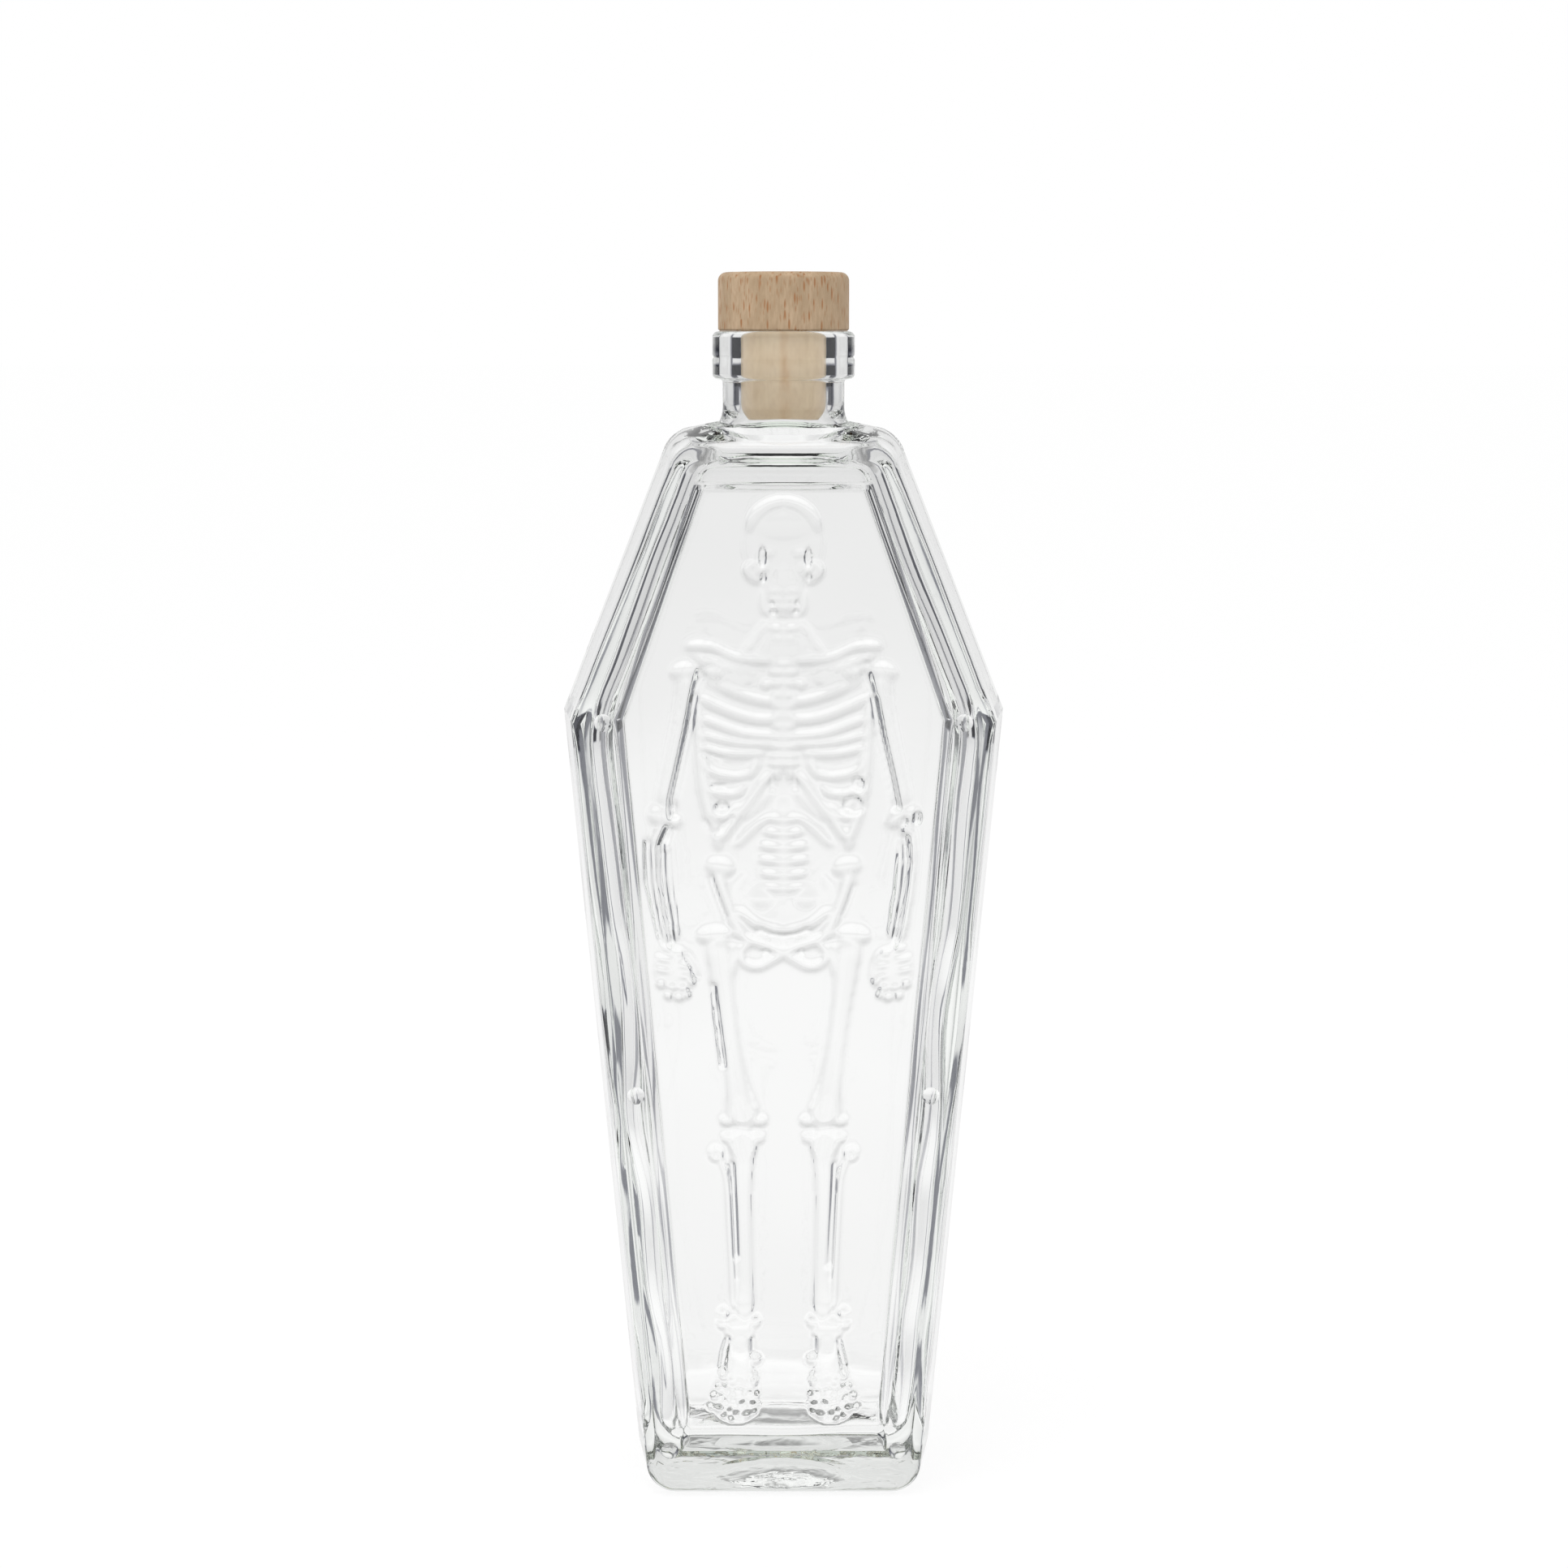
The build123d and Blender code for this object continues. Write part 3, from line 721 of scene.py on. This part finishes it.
# %% Lines and pits that stayed sharp
SCORED = [  # points, width, depth
    ([(-17.8, 187.6), (-18.7, 186.2), (-19.5, 184.6)], 0.55, 0.4),
    ([(17.6, 188.0), (18.6, 186.0), (19.4, 184.2)], 0.5, 0.35),
    ([(-19.6, 183.0), (-21.2, 175.0), (-23.0, 167.0), (-24.6, 160.0), (-24.4, 156.6)], 0.6, 0.75),
    ([(19.9, 182.6), (21.6, 174.0), (23.6, 165.5), (25.0, 158.6)], 0.6, 0.75),
    ([(-25.4, 153.6), (-27.3, 149.8), (-27.2, 142.0), (-26.0, 134.0), (-24.9, 127.6)], 0.6, 0.7),
    ([(27.2, 151.6), (27.6, 146.0), (26.6, 138.0), (24.9, 129.0)], 0.65, 0.7),
    ([(-26.3, 148.0), (-25.6, 140.0), (-24.6, 132.0)], 0.4, 0.35),
    ([(-30.2, 150.6), (-30.0, 142.0), (-28.8, 136.0), (-27.3, 129.0)], 0.35, 0.25),
    ([(-22.3, 125.8), (-20.2, 122.4), (-19.4, 120.0)], 0.4, 0.25),
    ([(-16.0, 142.4), (-14.6, 138.4), (-12.9, 134.0)], 0.4, 0.35),
    ([(15.6, 140.6), (14.4, 137.0), (13.2, 134.4)], 0.4, 0.2),
    ([(-15.6, 118.0), (-14.9, 111.0), (-13.6, 100.0)], 0.45, 0.55),
    ([(-11.6, 77.0), (-11.1, 68.0), (-10.7, 56.0)], 0.4, 0.35),
    ([(11.3, 77.0), (10.9, 66.0), (10.2, 54.0)], 0.4, 0.3),
    ([(-12.6, 36.4), (-13.6, 33.0), (-14.0, 29.6)], 0.4, 0.4),
    ([(12.4, 36.0), (13.8, 30.0)], 0.4, 0.35),
    ([(-6.9, 36.0), (-6.9, 33.4)], 0.35, 0.3),
    ([(6.9, 36.4), (6.9, 33.4)], 0.35, 0.3),
    ([(-5.2, 130.6), (-2.6, 129.4), (0.0, 129.0), (2.6, 129.4), (5.2, 130.6)], 0.75, 0.75),
    ([(-2.6, 165.4), (-2.3, 162.6)], 0.35, 0.3),
    ([(2.6, 165.6), (2.4, 162.8)], 0.35, 0.3),
    ([(-17.0, 155.2), (-15.2, 152.6), (-13.6, 153.4), (-11.6, 156.0)], 0.35, 0.25),
    ([(-17.6, 170.6), (-14.6, 169.4)], 0.35, 0.2),
]
PITS = [  # x, z, half width, half height, depth
    (-4.6, 213.8, 0.95, 2.5, 0.6), (-4.4, 209.3, 0.7, 1.3, 0.5),
    (5.4, 213.6, 0.9, 2.4, 0.55), (5.6, 209.4, 0.65, 1.1, 0.4),
    (-2.5, 203.6, 0.6, 0.6, 0.45), (-2.2, 201.6, 0.9, 0.8, 0.5),
    (3.0, 203.8, 0.5, 0.7, 0.4), (2.8, 201.8, 0.6, 0.7, 0.4),
    (-13.6, 158.4, 1.7, 1.3, 0.6), (-14.4, 163.2, 1.9, 0.6, 0.4),
    (15.4, 158.8, 2.5, 2.4, 0.7), (16.6, 163.6, 1.5, 1.7, 0.6),
    (-3.9, 125.8, 0.9, 0.8, 0.45), (3.9, 125.8, 0.8, 0.8, 0.45),
    (-15.2, 79.6, 0.8, 0.9, 0.3), (15.2, 79.6, 0.8, 0.9, 0.3),
    (29.5, 156.0, 1.0, 1.6, 0.7), (26.7, 155.4, 0.9, 1.2, 0.5),
    (-18.6, 188.6, 0.7, 0.9, 0.3), (18.0, 190.4, 1.3, 0.9, 0.3),
]
LINE_PRESS, LINE_BREADTH, WIDTH_SHARE = 2.7, 0.45, 0.65
PIT_PRESS, PIT_SLOPE = 2.2, 2.2
SHARP = 0.3


def from_line(points, x, z):
    """How far each place lies from a line of points, in millimetres."""
    near = np.full(x.shape, 1e3)
    for (x0, z0), (x1, z1) in zip(points, points[1:]):
        run, climb = x1 - x0, z1 - z0
        share = ((x - x0) * run + (z - z0) * climb) / (run**2 + climb**2)
        share = np.clip(share, 0, 1)
        near = np.minimum(near, np.hypot(x - x0 - share * run, z - z0 - share * climb))
    return near


def away_from(middle_x, middle_z, half_width, half_height, least):
    """Softness that falls to its least within an oval on each side of the figure."""
    out = np.hypot((np.abs(x) - middle_x) / half_width, (z - middle_z) / half_height)
    return np.interp(out, [0.8, 1.2], [least, 1.0])


softness = np.ones(x.shape)
pressed = np.zeros(x.shape)
for points, width, depth in SCORED:
    near = from_line(points, x, z)
    pressed += LINE_PRESS * depth * np.exp(-((near / (LINE_BREADTH + WIDTH_SHARE * width)) ** 2))
    softness = np.minimum(softness, np.interp(near, [0.6, 2.0], [SHARP, 1.0]))
for pit_x, pit_z, half_width, half_height, depth in PITS:
    across = ((x - pit_x) / half_width) ** 2 + ((z - pit_z) / half_height) ** 2
    pressed += PIT_PRESS * depth * np.clip(PIT_SLOPE * (1 - across), 0, 1)
feet = away_from(11, 22, 7, 8, SHARP)
hands = away_from(24, 121, 6, 9, 0.5)
softness = np.minimum(softness, np.minimum(feet, hands))
print(len(SCORED), "scored lines and", len(PITS), "pits")

# %% Press the figure into it
choose(plug)
step = plug.modifiers.new("press", "SHRINKWRAP")
step.target = figure
step.wrap_method = "PROJECT"
step.use_project_y = True
step.use_positive_direction = True
step.vertex_group = "floor"
bpy.ops.object.modifier_apply(modifier=step.name)
soft = plug.vertex_groups.new(name="soft")
tenths = np.round(softness * 10)
for tenth in range(3, 11):
    soft.add(numbers(on_floor & (tenths == tenth)), tenth / 10, "REPLACE")
step = plug.modifiers.new("ease", "SMOOTH")
step.use_x = step.use_z = False
step.factor = 0.5
step.iterations = 7
step.vertex_group = "soft"
bpy.ops.object.modifier_apply(modifier=step.name)
bpy.data.objects.remove(figure)
shaped = np.zeros(len(plug.data.vertices) * 3, dtype=np.float32)
plug.data.vertices.foreach_get("co", shaped)
shaped = shaped.reshape(-1, 3)
shaped[:, 1] += (pressed * on_floor).ravel() * MM
plug.data.vertices.foreach_set("co", shaped.ravel())
plug.data.update()
print("pressed up to", round(float((pressed * on_floor).max()), 2), "mm deep")

# %% Close the plug and cut the panel
PLUG_LENGTH = 5
choose(plug)
bpy.ops.object.mode_set(mode="EDIT")
bpy.ops.mesh.select_mode(type="EDGE")
bpy.ops.mesh.select_all(action="DESELECT")
bpy.ops.mesh.select_non_manifold()
bpy.ops.mesh.extrude_region_move(TRANSFORM_OT_translate={"value": (0, -PLUG_LENGTH * MM, 0)})
bpy.ops.mesh.edge_face_add()
bpy.ops.mesh.select_all(action="SELECT")
bpy.ops.mesh.normals_make_consistent(inside=False)
bpy.ops.object.mode_set(mode="OBJECT")
carve(body, plug)

# %% [markdown]
# ## The stopper
#
# The knob is turned from one piece of beech and glued onto a smooth shank. Both are turned
# here too, the knob from its socket outwards, so that its rounded top comes last.

# %% Turn the knob and the shank
SEAT_Z, TOP_Z = WOOD[0][2] / MM, WOOD[1][2] / MM
HEAD_RADIUS, FOOT_CHAMFER, TOP_ROUND, TOP_MIDDLE = 14.6, 0.4, 1.9, 6.0
SHANK_RADIUS, SHANK_REACH, SOCKET_Z = 9.5, 19.5, 266.65
SIDE_GAP, END_GAP, SIDES = 0.05, 0.1, 128
SHANK_END = [(2.1, 0.0), (1.75, 0.1), (0.25, 2.7), (0.0, 3.3)]  # inwards, above the tip
head = turned("turned_head", [
    (SHANK_RADIUS + SIDE_GAP, SOCKET_Z),
    (SHANK_RADIUS + SIDE_GAP, SEAT_Z),
    (HEAD_RADIUS - FOOT_CHAMFER, SEAT_Z),
    (HEAD_RADIUS, SEAT_Z + FOOT_CHAMFER),
    *arc(HEAD_RADIUS - TOP_ROUND, TOP_Z - TOP_ROUND, TOP_ROUND, 0, 90, 10),
    (TOP_MIDDLE, TOP_Z),
], SIDES)
shank = turned("smooth_shank", [
    *[(SHANK_RADIUS - inwards, SEAT_Z - SHANK_REACH + above) for inwards, above in SHANK_END],
    (SHANK_RADIUS, SOCKET_Z - END_GAP),
], SIDES)
for piece, turned_from in ((head, "wooden_head"), (shank, "stopper_shank")):
    choose(piece)
    bpy.ops.object.shade_smooth_by_angle(angle=math.radians(35))
    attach(piece, "stopper")
    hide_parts(turned_from)

# %% [markdown]
# ## Writing materials as sums
#
# A material's maths reads best as plain sums. `Value` wraps one socket, so that `1 - mask`
# adds the Math node it stands for, and `Finish.node` adds any other node.


# %% Sums on sockets
class Value:
    """One socket of a node tree, ready to be used in sums."""

    def __init__(self, finish, made, socket):
        self.finish, self.made, self.socket = finish, made, socket

    def out(self, name):
        return Value(self.finish, self.made, self.made.outputs[name])

    def sum(self, operation, *others):
        sockets = dict(enumerate((self, *others)))
        return self.finish.node("ShaderNodeMath", {"operation": operation}, sockets)

    def __add__(self, other):
        return self.sum("ADD", other)

    def __mul__(self, other):
        return self.sum("MULTIPLY", other)

    def __sub__(self, other):
        return self.sum("SUBTRACT", other)

    def __rsub__(self, other):
        return self.finish.node("ShaderNodeMath", {"operation": "SUBTRACT"}, {0: other, 1: self})

    def __truediv__(self, other):
        return self.sum("DIVIDE", other)

    def __abs__(self):
        return self.sum("ABSOLUTE")

    __radd__, __rmul__ = __add__, __mul__


# %% One method for any node
class Finish:
    """A node tree that is written from nothing."""

    def __init__(self, owner):
        owner.use_nodes = True
        self.tree = owner.node_tree
        self.tree.nodes.clear()

    def node(self, kind, settings=None, sockets=None):
        """Adds a node: its settings first, a ramp's stops among them, then its sockets."""
        made = self.tree.nodes.new(kind)
        for key, value in (settings or {}).items():
            if key == "stops":
                marks = made.color_ramp.elements
                while len(marks) < len(value):
                    marks.new(0.5)
                for mark, (place, grey) in zip(marks, value):
                    mark.position = place
                for mark, (place, grey) in zip(marks, value):
                    mark.color = (grey, grey, grey, 1)
            else:
                setattr(made, key, value)
        for key, value in (sockets or {}).items():
            if isinstance(value, Value):
                self.tree.links.new(value.socket, made.inputs[key])
            else:
                made.inputs[key].default_value = value
        return Value(self, made, made.outputs[0] if made.outputs else None)

    def blend(self, factor, first, second):
        """Mixes two colours."""
        sockets = {0: factor, 6: first, 7: second}
        mixed = self.node("ShaderNodeMix", {"data_type": "RGBA"}, sockets)
        return Value(self, mixed.made, mixed.made.outputs[2])

    def ramp(self, value, low, high):
        """A soft step from 0 at low to 1 at high."""
        settings = {"interpolation_type": "SMOOTHSTEP"}
        return self.node("ShaderNodeMapRange", settings, {0: value, 1: low, 2: high})


# %% [markdown]
# ## Clear glass
#
# Clear glass is never quite without colour: over a long way it turns a little green. Only
# the depth shows that, so the tint goes into the volume, and the surface stays plain.

# %% Clear glass
FOOT_FROM, FOOT_TO = 0.0002, 0.0036
SWELL, FOOT_SWELL = 0.03, 0.6
clear_glass = bpy.data.materials.new("clear_glass")
glass = Finish(clear_glass)
place = glass.node("ShaderNodeTexCoord").out("Object")
axes = glass.node("ShaderNodeSeparateXYZ", None, {0: place})
low = 1 - glass.ramp(axes.out("Z"), FOOT_FROM, FOOT_TO)
swell = glass.node("ShaderNodeTexNoise", None, {
    "Vector": place, "Scale": 150.0, "Detail": 2.0, "Distortion": 0.6,
})
ease = glass.node("ShaderNodeBump", None, {
    "Strength": 0.35, "Distance": 0.002, "Height": swell * (SWELL + FOOT_SWELL * low),
})
surface = glass.node("ShaderNodeBsdfPrincipled", None, {
    "Base Color": (1, 1, 1, 1), "Roughness": 0.0, "IOR": 1.5, "Transmission Weight": 1.0,
    "Normal": ease,
})
depth_tint = glass.node("ShaderNodeVolumeAbsorption", None, {
    "Color": (0.8, 0.93, 0.77, 1), "Density": 2.4,
})
glass.node("ShaderNodeOutputMaterial", None, {"Surface": surface, "Volume": depth_tint})

body.data.materials.clear()
body.data.materials.append(clear_glass)
choose(body)
bpy.ops.object.shade_smooth()
weight = body.modifiers.new("weigh", "WEIGHTED_NORMAL")
weight.weight = 50
bpy.ops.object.modifier_apply(modifier=weight.name)
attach(body, "bottle")
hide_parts("glass_bottle")
print("glass body", len(body.data.polygons), "faces")

# %% [markdown]
# ## Beech
#
# Beech is told by its flecks: short, rusty spindles along the grain, over fine pale lines.
# Each fleck is one cell of a stretched Voronoi pattern, and the cell's own random colour
# decides whether it is filled at all, and how strongly.

# %% Patterns along the grain
beech = bpy.data.materials.new("beech_wood")
wood = Finish(beech)
wood_place = wood.node("ShaderNodeTexCoord").out("Object")


def stretched(finish, place, across, along, lean=0.0):
    """Object coordinates scaled across and along the grain, which may lean a little."""
    return finish.node("ShaderNodeMapping", {"vector_type": "POINT"}, {
        "Vector": place, "Rotation": (0, math.radians(lean), 0), "Scale": (across, across, along),
    })


def clouds(finish, place, detail):
    """Noise over coordinates that already have its scale."""
    sockets = {"Vector": place, "Scale": 1.0, "Detail": detail}
    return finish.node("ShaderNodeTexNoise", None, sockets)


wander = clouds(wood, stretched(wood, wood_place, 260, 120), 2.0)
tone = clouds(wood, stretched(wood, wood_place, 230, 80), 3.0)
grain = clouds(wood, stretched(wood, wood_place, 2100, 380, 4), 4.0)


def flecks(across, along, lean, filled, thin, shift):
    """Spindles that fill some of the cells of a stretched pattern."""
    leant = stretched(wood, wood_place, across, along, lean)
    moved = wood.node("ShaderNodeVectorMath", {"operation": "ADD"}, {0: leant, 1: shift})
    bent = wood.node("ShaderNodeVectorMath", {"operation": "MULTIPLY_ADD"}, {
        0: wander.out("Color"), 1: (0.7, 0.7, 0.5), 2: moved,
    })
    cells = wood.node("ShaderNodeTexVoronoi", {"feature": "F1"}, {
        "Vector": bent, "Scale": 1.0, "Randomness": 1.0,
    })
    chance = wood.node("ShaderNodeSeparateColor", None, {"Color": cells.out("Color")})
    spindle = 1 - wood.ramp(cells.out("Distance"), thin * 0.35, thin)
    return spindle * wood.ramp(chance, 1 - filled, 1 - filled * 0.55)


# %% Beech from its flecks and tones
DARK_BEECH, LIGHT_BEECH = (0.48, 0.345, 0.215, 1), (0.59, 0.43, 0.28, 1)
GRAIN_BROWN, FLECK_RUST = (0.38, 0.255, 0.15, 1), (0.40, 0.185, 0.075, 1)
large = flecks(1350, 250, 5, 0.7, 0.44, (0.3, 0.2, 0.1))
small = flecks(2000, 430, 3, 0.6, 0.42, (7.3, 2.9, 4.1))
rays = large + 0.6 * small
ground = wood.blend(wood.ramp(tone, 0.32, 0.68), DARK_BEECH, LIGHT_BEECH)
ground = wood.blend(wood.ramp(grain, 0.35, 0.65) * 0.4, ground, GRAIN_BROWN)
colour = wood.blend(rays * 0.95, ground, FLECK_RUST)
height = grain * 0.5 - rays
ease = wood.node("ShaderNodeBump", None, {"Strength": 0.35, "Distance": 0.0002, "Height": height})
surface = wood.node("ShaderNodeBsdfPrincipled", None, {
    "Base Color": colour, "Roughness": 0.5 + 0.2 * grain, "Normal": ease, "IOR": 1.45,
})
wood.node("ShaderNodeOutputMaterial", None, {"Surface": surface})
print("beech of", len(wood.tree.nodes), "nodes")

# %% [markdown]
# ## The shank
#
# The shank is a pale, smooth moulding. It is nearly even in tone, with a faint seam down
# its front where its own mould closed.

# %% Shank with its faint seam
pale = bpy.data.materials.new("stopper_shank_finish")
skin = Finish(pale)
DARK_CREAM, LIGHT_CREAM = (0.78, 0.61, 0.41, 1), (0.84, 0.68, 0.47, 1)
GRIT_BROWN, SEAM_BROWN = (0.6, 0.43, 0.27, 1), (0.64, 0.38, 0.17, 1)
SEAM_X, SEAM_SPREAD = 0.0003, 0.0016
place = skin.node("ShaderNodeTexCoord").out("Object")
axes = skin.node("ShaderNodeSeparateXYZ", None, {0: place})
cloud = clouds(skin, stretched(skin, place, 300, 180), 3.0)
fine = clouds(skin, stretched(skin, place, 1500, 500), 3.0)
seam = 1 - skin.ramp(abs(axes.out("X") - SEAM_X), 0.0, SEAM_SPREAD)
seam = seam * skin.ramp(cloud, 0.35, 0.62)
tone = skin.blend(skin.ramp(cloud, 0.3, 0.7), DARK_CREAM, LIGHT_CREAM)
tone = skin.blend(skin.ramp(fine, 0.4, 0.75) * 0.18, tone, GRIT_BROWN)
tone = skin.blend(seam * 0.6, tone, SEAM_BROWN)
ease = skin.node("ShaderNodeBump", None, {"Strength": 0.2, "Distance": 0.0001, "Height": fine})
surface = skin.node("ShaderNodeBsdfPrincipled", None, {
    "Base Color": tone, "Roughness": 0.45 + 0.1 * fine, "Normal": ease, "IOR": 1.45,
})
skin.node("ShaderNodeOutputMaterial", None, {"Surface": surface})
print("shank finish of", len(skin.tree.nodes), "nodes")

# %% Dress the stopper
for piece, finish, slot in ((head, beech, "beech_wood"), (shank, pale, "stopper_cork")):
    piece.data.materials.clear()
    piece.data.materials.append(finish)
for hidden, finish in (
    ("glass_bottle", clear_glass), ("wooden_head", beech), ("stopper_shank", pale),
):
    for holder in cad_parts[hidden].material_slots:
        holder.material = finish
print("finishes", [material.name for material in (clear_glass, beech, pale)])

# %% [markdown]
# ## Camera, floor, light
#
# The world is white to the camera. What glass bends shows soft dark strips between white
# windows, as a photographer sets black cards beside a bottle to draw its edges. A dark hood
# behind the camera darkens the rays that the thick foot sends back over it.

# %% Camera
LOOK_DOWN, LENS, FILM_WIDTH = 8.37, 71.66, 36
bpy.ops.object.camera_add(
    location=(0.0001, -0.703, 0.264), rotation=(math.radians(90 - LOOK_DOWN), 0, 0)
)
camera = bpy.context.object
camera.data.lens = LENS
camera.data.sensor_width = FILM_WIDTH
bpy.context.scene.camera = camera
print("camera at", tuple(round(v, 3) for v in camera.location), "with a lens of", LENS, "mm")

# %% Directions in the world
world = bpy.data.worlds.new("studio")
bpy.context.scene.world = world
room = Finish(world)
way = room.node("ShaderNodeTexCoord").out("Generated")
axes = room.node("ShaderNodeSeparateXYZ", None, {0: way})
azimuth = abs(axes.out("X").sum("ARCTAN2", axes.out("Y"))) / math.pi
height = axes.out("Z") * 0.5 + 0.5


def round_the_room(stops):
    """Brightness by the angle from straight behind the bottle, in degrees."""
    stops = [(angle / 180, grey) for angle, grey in stops]
    return room.node("ShaderNodeValToRGB", {"stops": stops}, {0: azimuth})


def up_the_room(stops):
    """Brightness by height, from -1 straight down to 1 straight up."""
    stops = [((z + 1) / 2, grey) for z, grey in stops]
    return room.node("ShaderNodeValToRGB", {"stops": stops}, {0: height})


# %% Black cards and white windows
flags = round_the_room([
    (0, 1.0), (12, 1.0), (20, 0.95), (30, 0.88), (34, 0.8), (36, 0.25), (41.5, 0.25),
    (44, 0.88), (50, 0.9), (57, 0.88), (90, 0.84), (118, 0.84), (122, 0.45), (129, 0.45),
    (133, 0.88), (138, 0.82), (142.5, 0.35), (147, 0.82), (152, 0.95), (180, 1.0),
])
cards = round_the_room([(0, 0.0), (37, 0.0), (40.5, 1.0), (77, 1.0), (81, 0.0), (180, 0.0)])
level = up_the_room([
    (-1, 0.9), (-0.7, 0.98), (-0.5, 1.03), (-0.38, 1.0), (-0.32, 0.9), (-0.27, 0.93),
    (-0.22, 0.95), (-0.17, 0.92), (-0.12, 0.865), (-0.07, 0.84), (0, 0.82), (0.17, 0.78),
    (0.34, 0.74), (0.5, 0.84), (0.6, 0.55), (0.68, 0.32), (0.78, 0.4), (1, 0.85),
])
high_cards = round_the_room([(0, 0.0), (37, 0.0), (40, 1.0), (57, 1.0), (61, 0.0), (180, 0.0)])
reach = up_the_room([
    (-1, 0.0), (-0.6, 0.1), (-0.42, 0.45), (-0.26, 1.0), (0.5, 1.0), (0.8, 0.0), (1, 0.0),
])
belt = up_the_room([
    (-1, 0.0), (-0.09, 0.0), (-0.06, 0.97), (0.06, 0.97), (0.12, 0.3), (0.28, 0.0), (1, 0.0),
])
shelf = up_the_room([(-1, 0.0), (0.02, 0.0), (0.06, 0.9), (0.34, 0.9), (0.42, 0.0), (1, 0.0)])
behind_camera = round_the_room([(0, 0.0), (98, 0.0), (106, 1.0), (180, 1.0)])
hood = up_the_room([(-1, 0.0), (0.04, 0.0), (0.12, 0.95), (0.8, 0.95), (1, 0.2)])
dark = ((1 - flags) * reach).sum("MAXIMUM", (cards * belt).sum("MAXIMUM", high_cards * shelf))
dark = dark.sum("MAXIMUM", behind_camera * hood)
seen = (1 - dark) * level
print("cards, belt, shelf and hood in", len(world.node_tree.nodes), "nodes")

# %% What each ray sees
ROOM_LIGHT, THROUGH_GLASS = 0.8, 0.47
CARD_BLUE = (0.75, 0.78, 1.0, 1)
path = room.node("ShaderNodeLightPath")
bent = path.out("Is Glossy Ray").sum("MAXIMUM", path.out("Is Transmission Ray"))
scattered = path.out("Diffuse Depth").sum("MINIMUM", 1.0)
looking = bent * (1 - scattered)
through = bent * scattered
plain = ROOM_LIGHT + (1 - ROOM_LIGHT) * path.out("Is Camera Ray") + THROUGH_GLASS * through
strength = looking * seen + (1 - looking) * plain
tint = room.blend(dark * dark * looking, (1, 1, 1, 1), CARD_BLUE)
background = room.node("ShaderNodeBackground", None, {"Color": tint, "Strength": strength})
room.node("ShaderNodeOutputWorld", None, {"Surface": background})
print("world of", len(world.node_tree.nodes), "nodes")

# %% Floor
FLOOR_SIZE, FLOOR_DROP, FLOOR_WHITE, CAMERA_SHARE = 40, 0.5, 1.045, 0.85
start_clean()
bpy.ops.mesh.primitive_plane_add(size=FLOOR_SIZE, location=(0, 0, -FLOOR_DROP * MM))
floor = bpy.context.object
floor.name = "studio_floor"
floor_material = bpy.data.materials.new("studio_floor")
ground = Finish(floor_material)
diffuse = ground.node("ShaderNodeBsdfDiffuse", None, {"Color": (0.9, 0.9, 0.9, 1)})
glow = ground.node("ShaderNodeEmission", None, {"Color": (1, 1, 1, 1), "Strength": FLOOR_WHITE})
white = CAMERA_SHARE * ground.node("ShaderNodeLightPath").out("Is Camera Ray")
mixed = ground.node("ShaderNodeMixShader", None, {0: white, 1: diffuse, 2: glow})
ground.node("ShaderNodeOutputMaterial", None, {"Surface": mixed})
floor.data.materials.append(floor_material)
floor.visible_transmission = False
floor.visible_glossy = False
print("floor of", FLOOR_SIZE, "metres")

# %% A soft lamp overhead
LAMP_WIDTH, LAMP_WATTS = 0.7, 3.6
bpy.ops.object.light_add(
    type="AREA", location=(-0.25, -0.35, 1.15), rotation=(math.radians(20), math.radians(-14), 0)
)
lamp = bpy.context.object
lamp.data.shape = "DISK"
lamp.data.size = LAMP_WIDTH
lamp.data.energy = LAMP_WATTS
lamp.visible_transmission = False
lamp.visible_glossy = False
print("lamp of", LAMP_WATTS, "watts")

# %% [markdown]
# Light crosses many skins of glass before it leaves the bottle, so rays get more bounces
# than they have by default. Fewer would leave black patches in the foot.

# %% Colour and bounces
GLASS_BOUNCES, GLOSS_BOUNCES = 32, 16
bpy.context.scene.view_settings.view_transform = "Standard"
bpy.context.scene.cycles.max_bounces = GLASS_BOUNCES
bpy.context.scene.cycles.transmission_bounces = GLASS_BOUNCES
bpy.context.scene.cycles.glossy_bounces = GLOSS_BOUNCES
print("up to", GLASS_BOUNCES, "bounces")
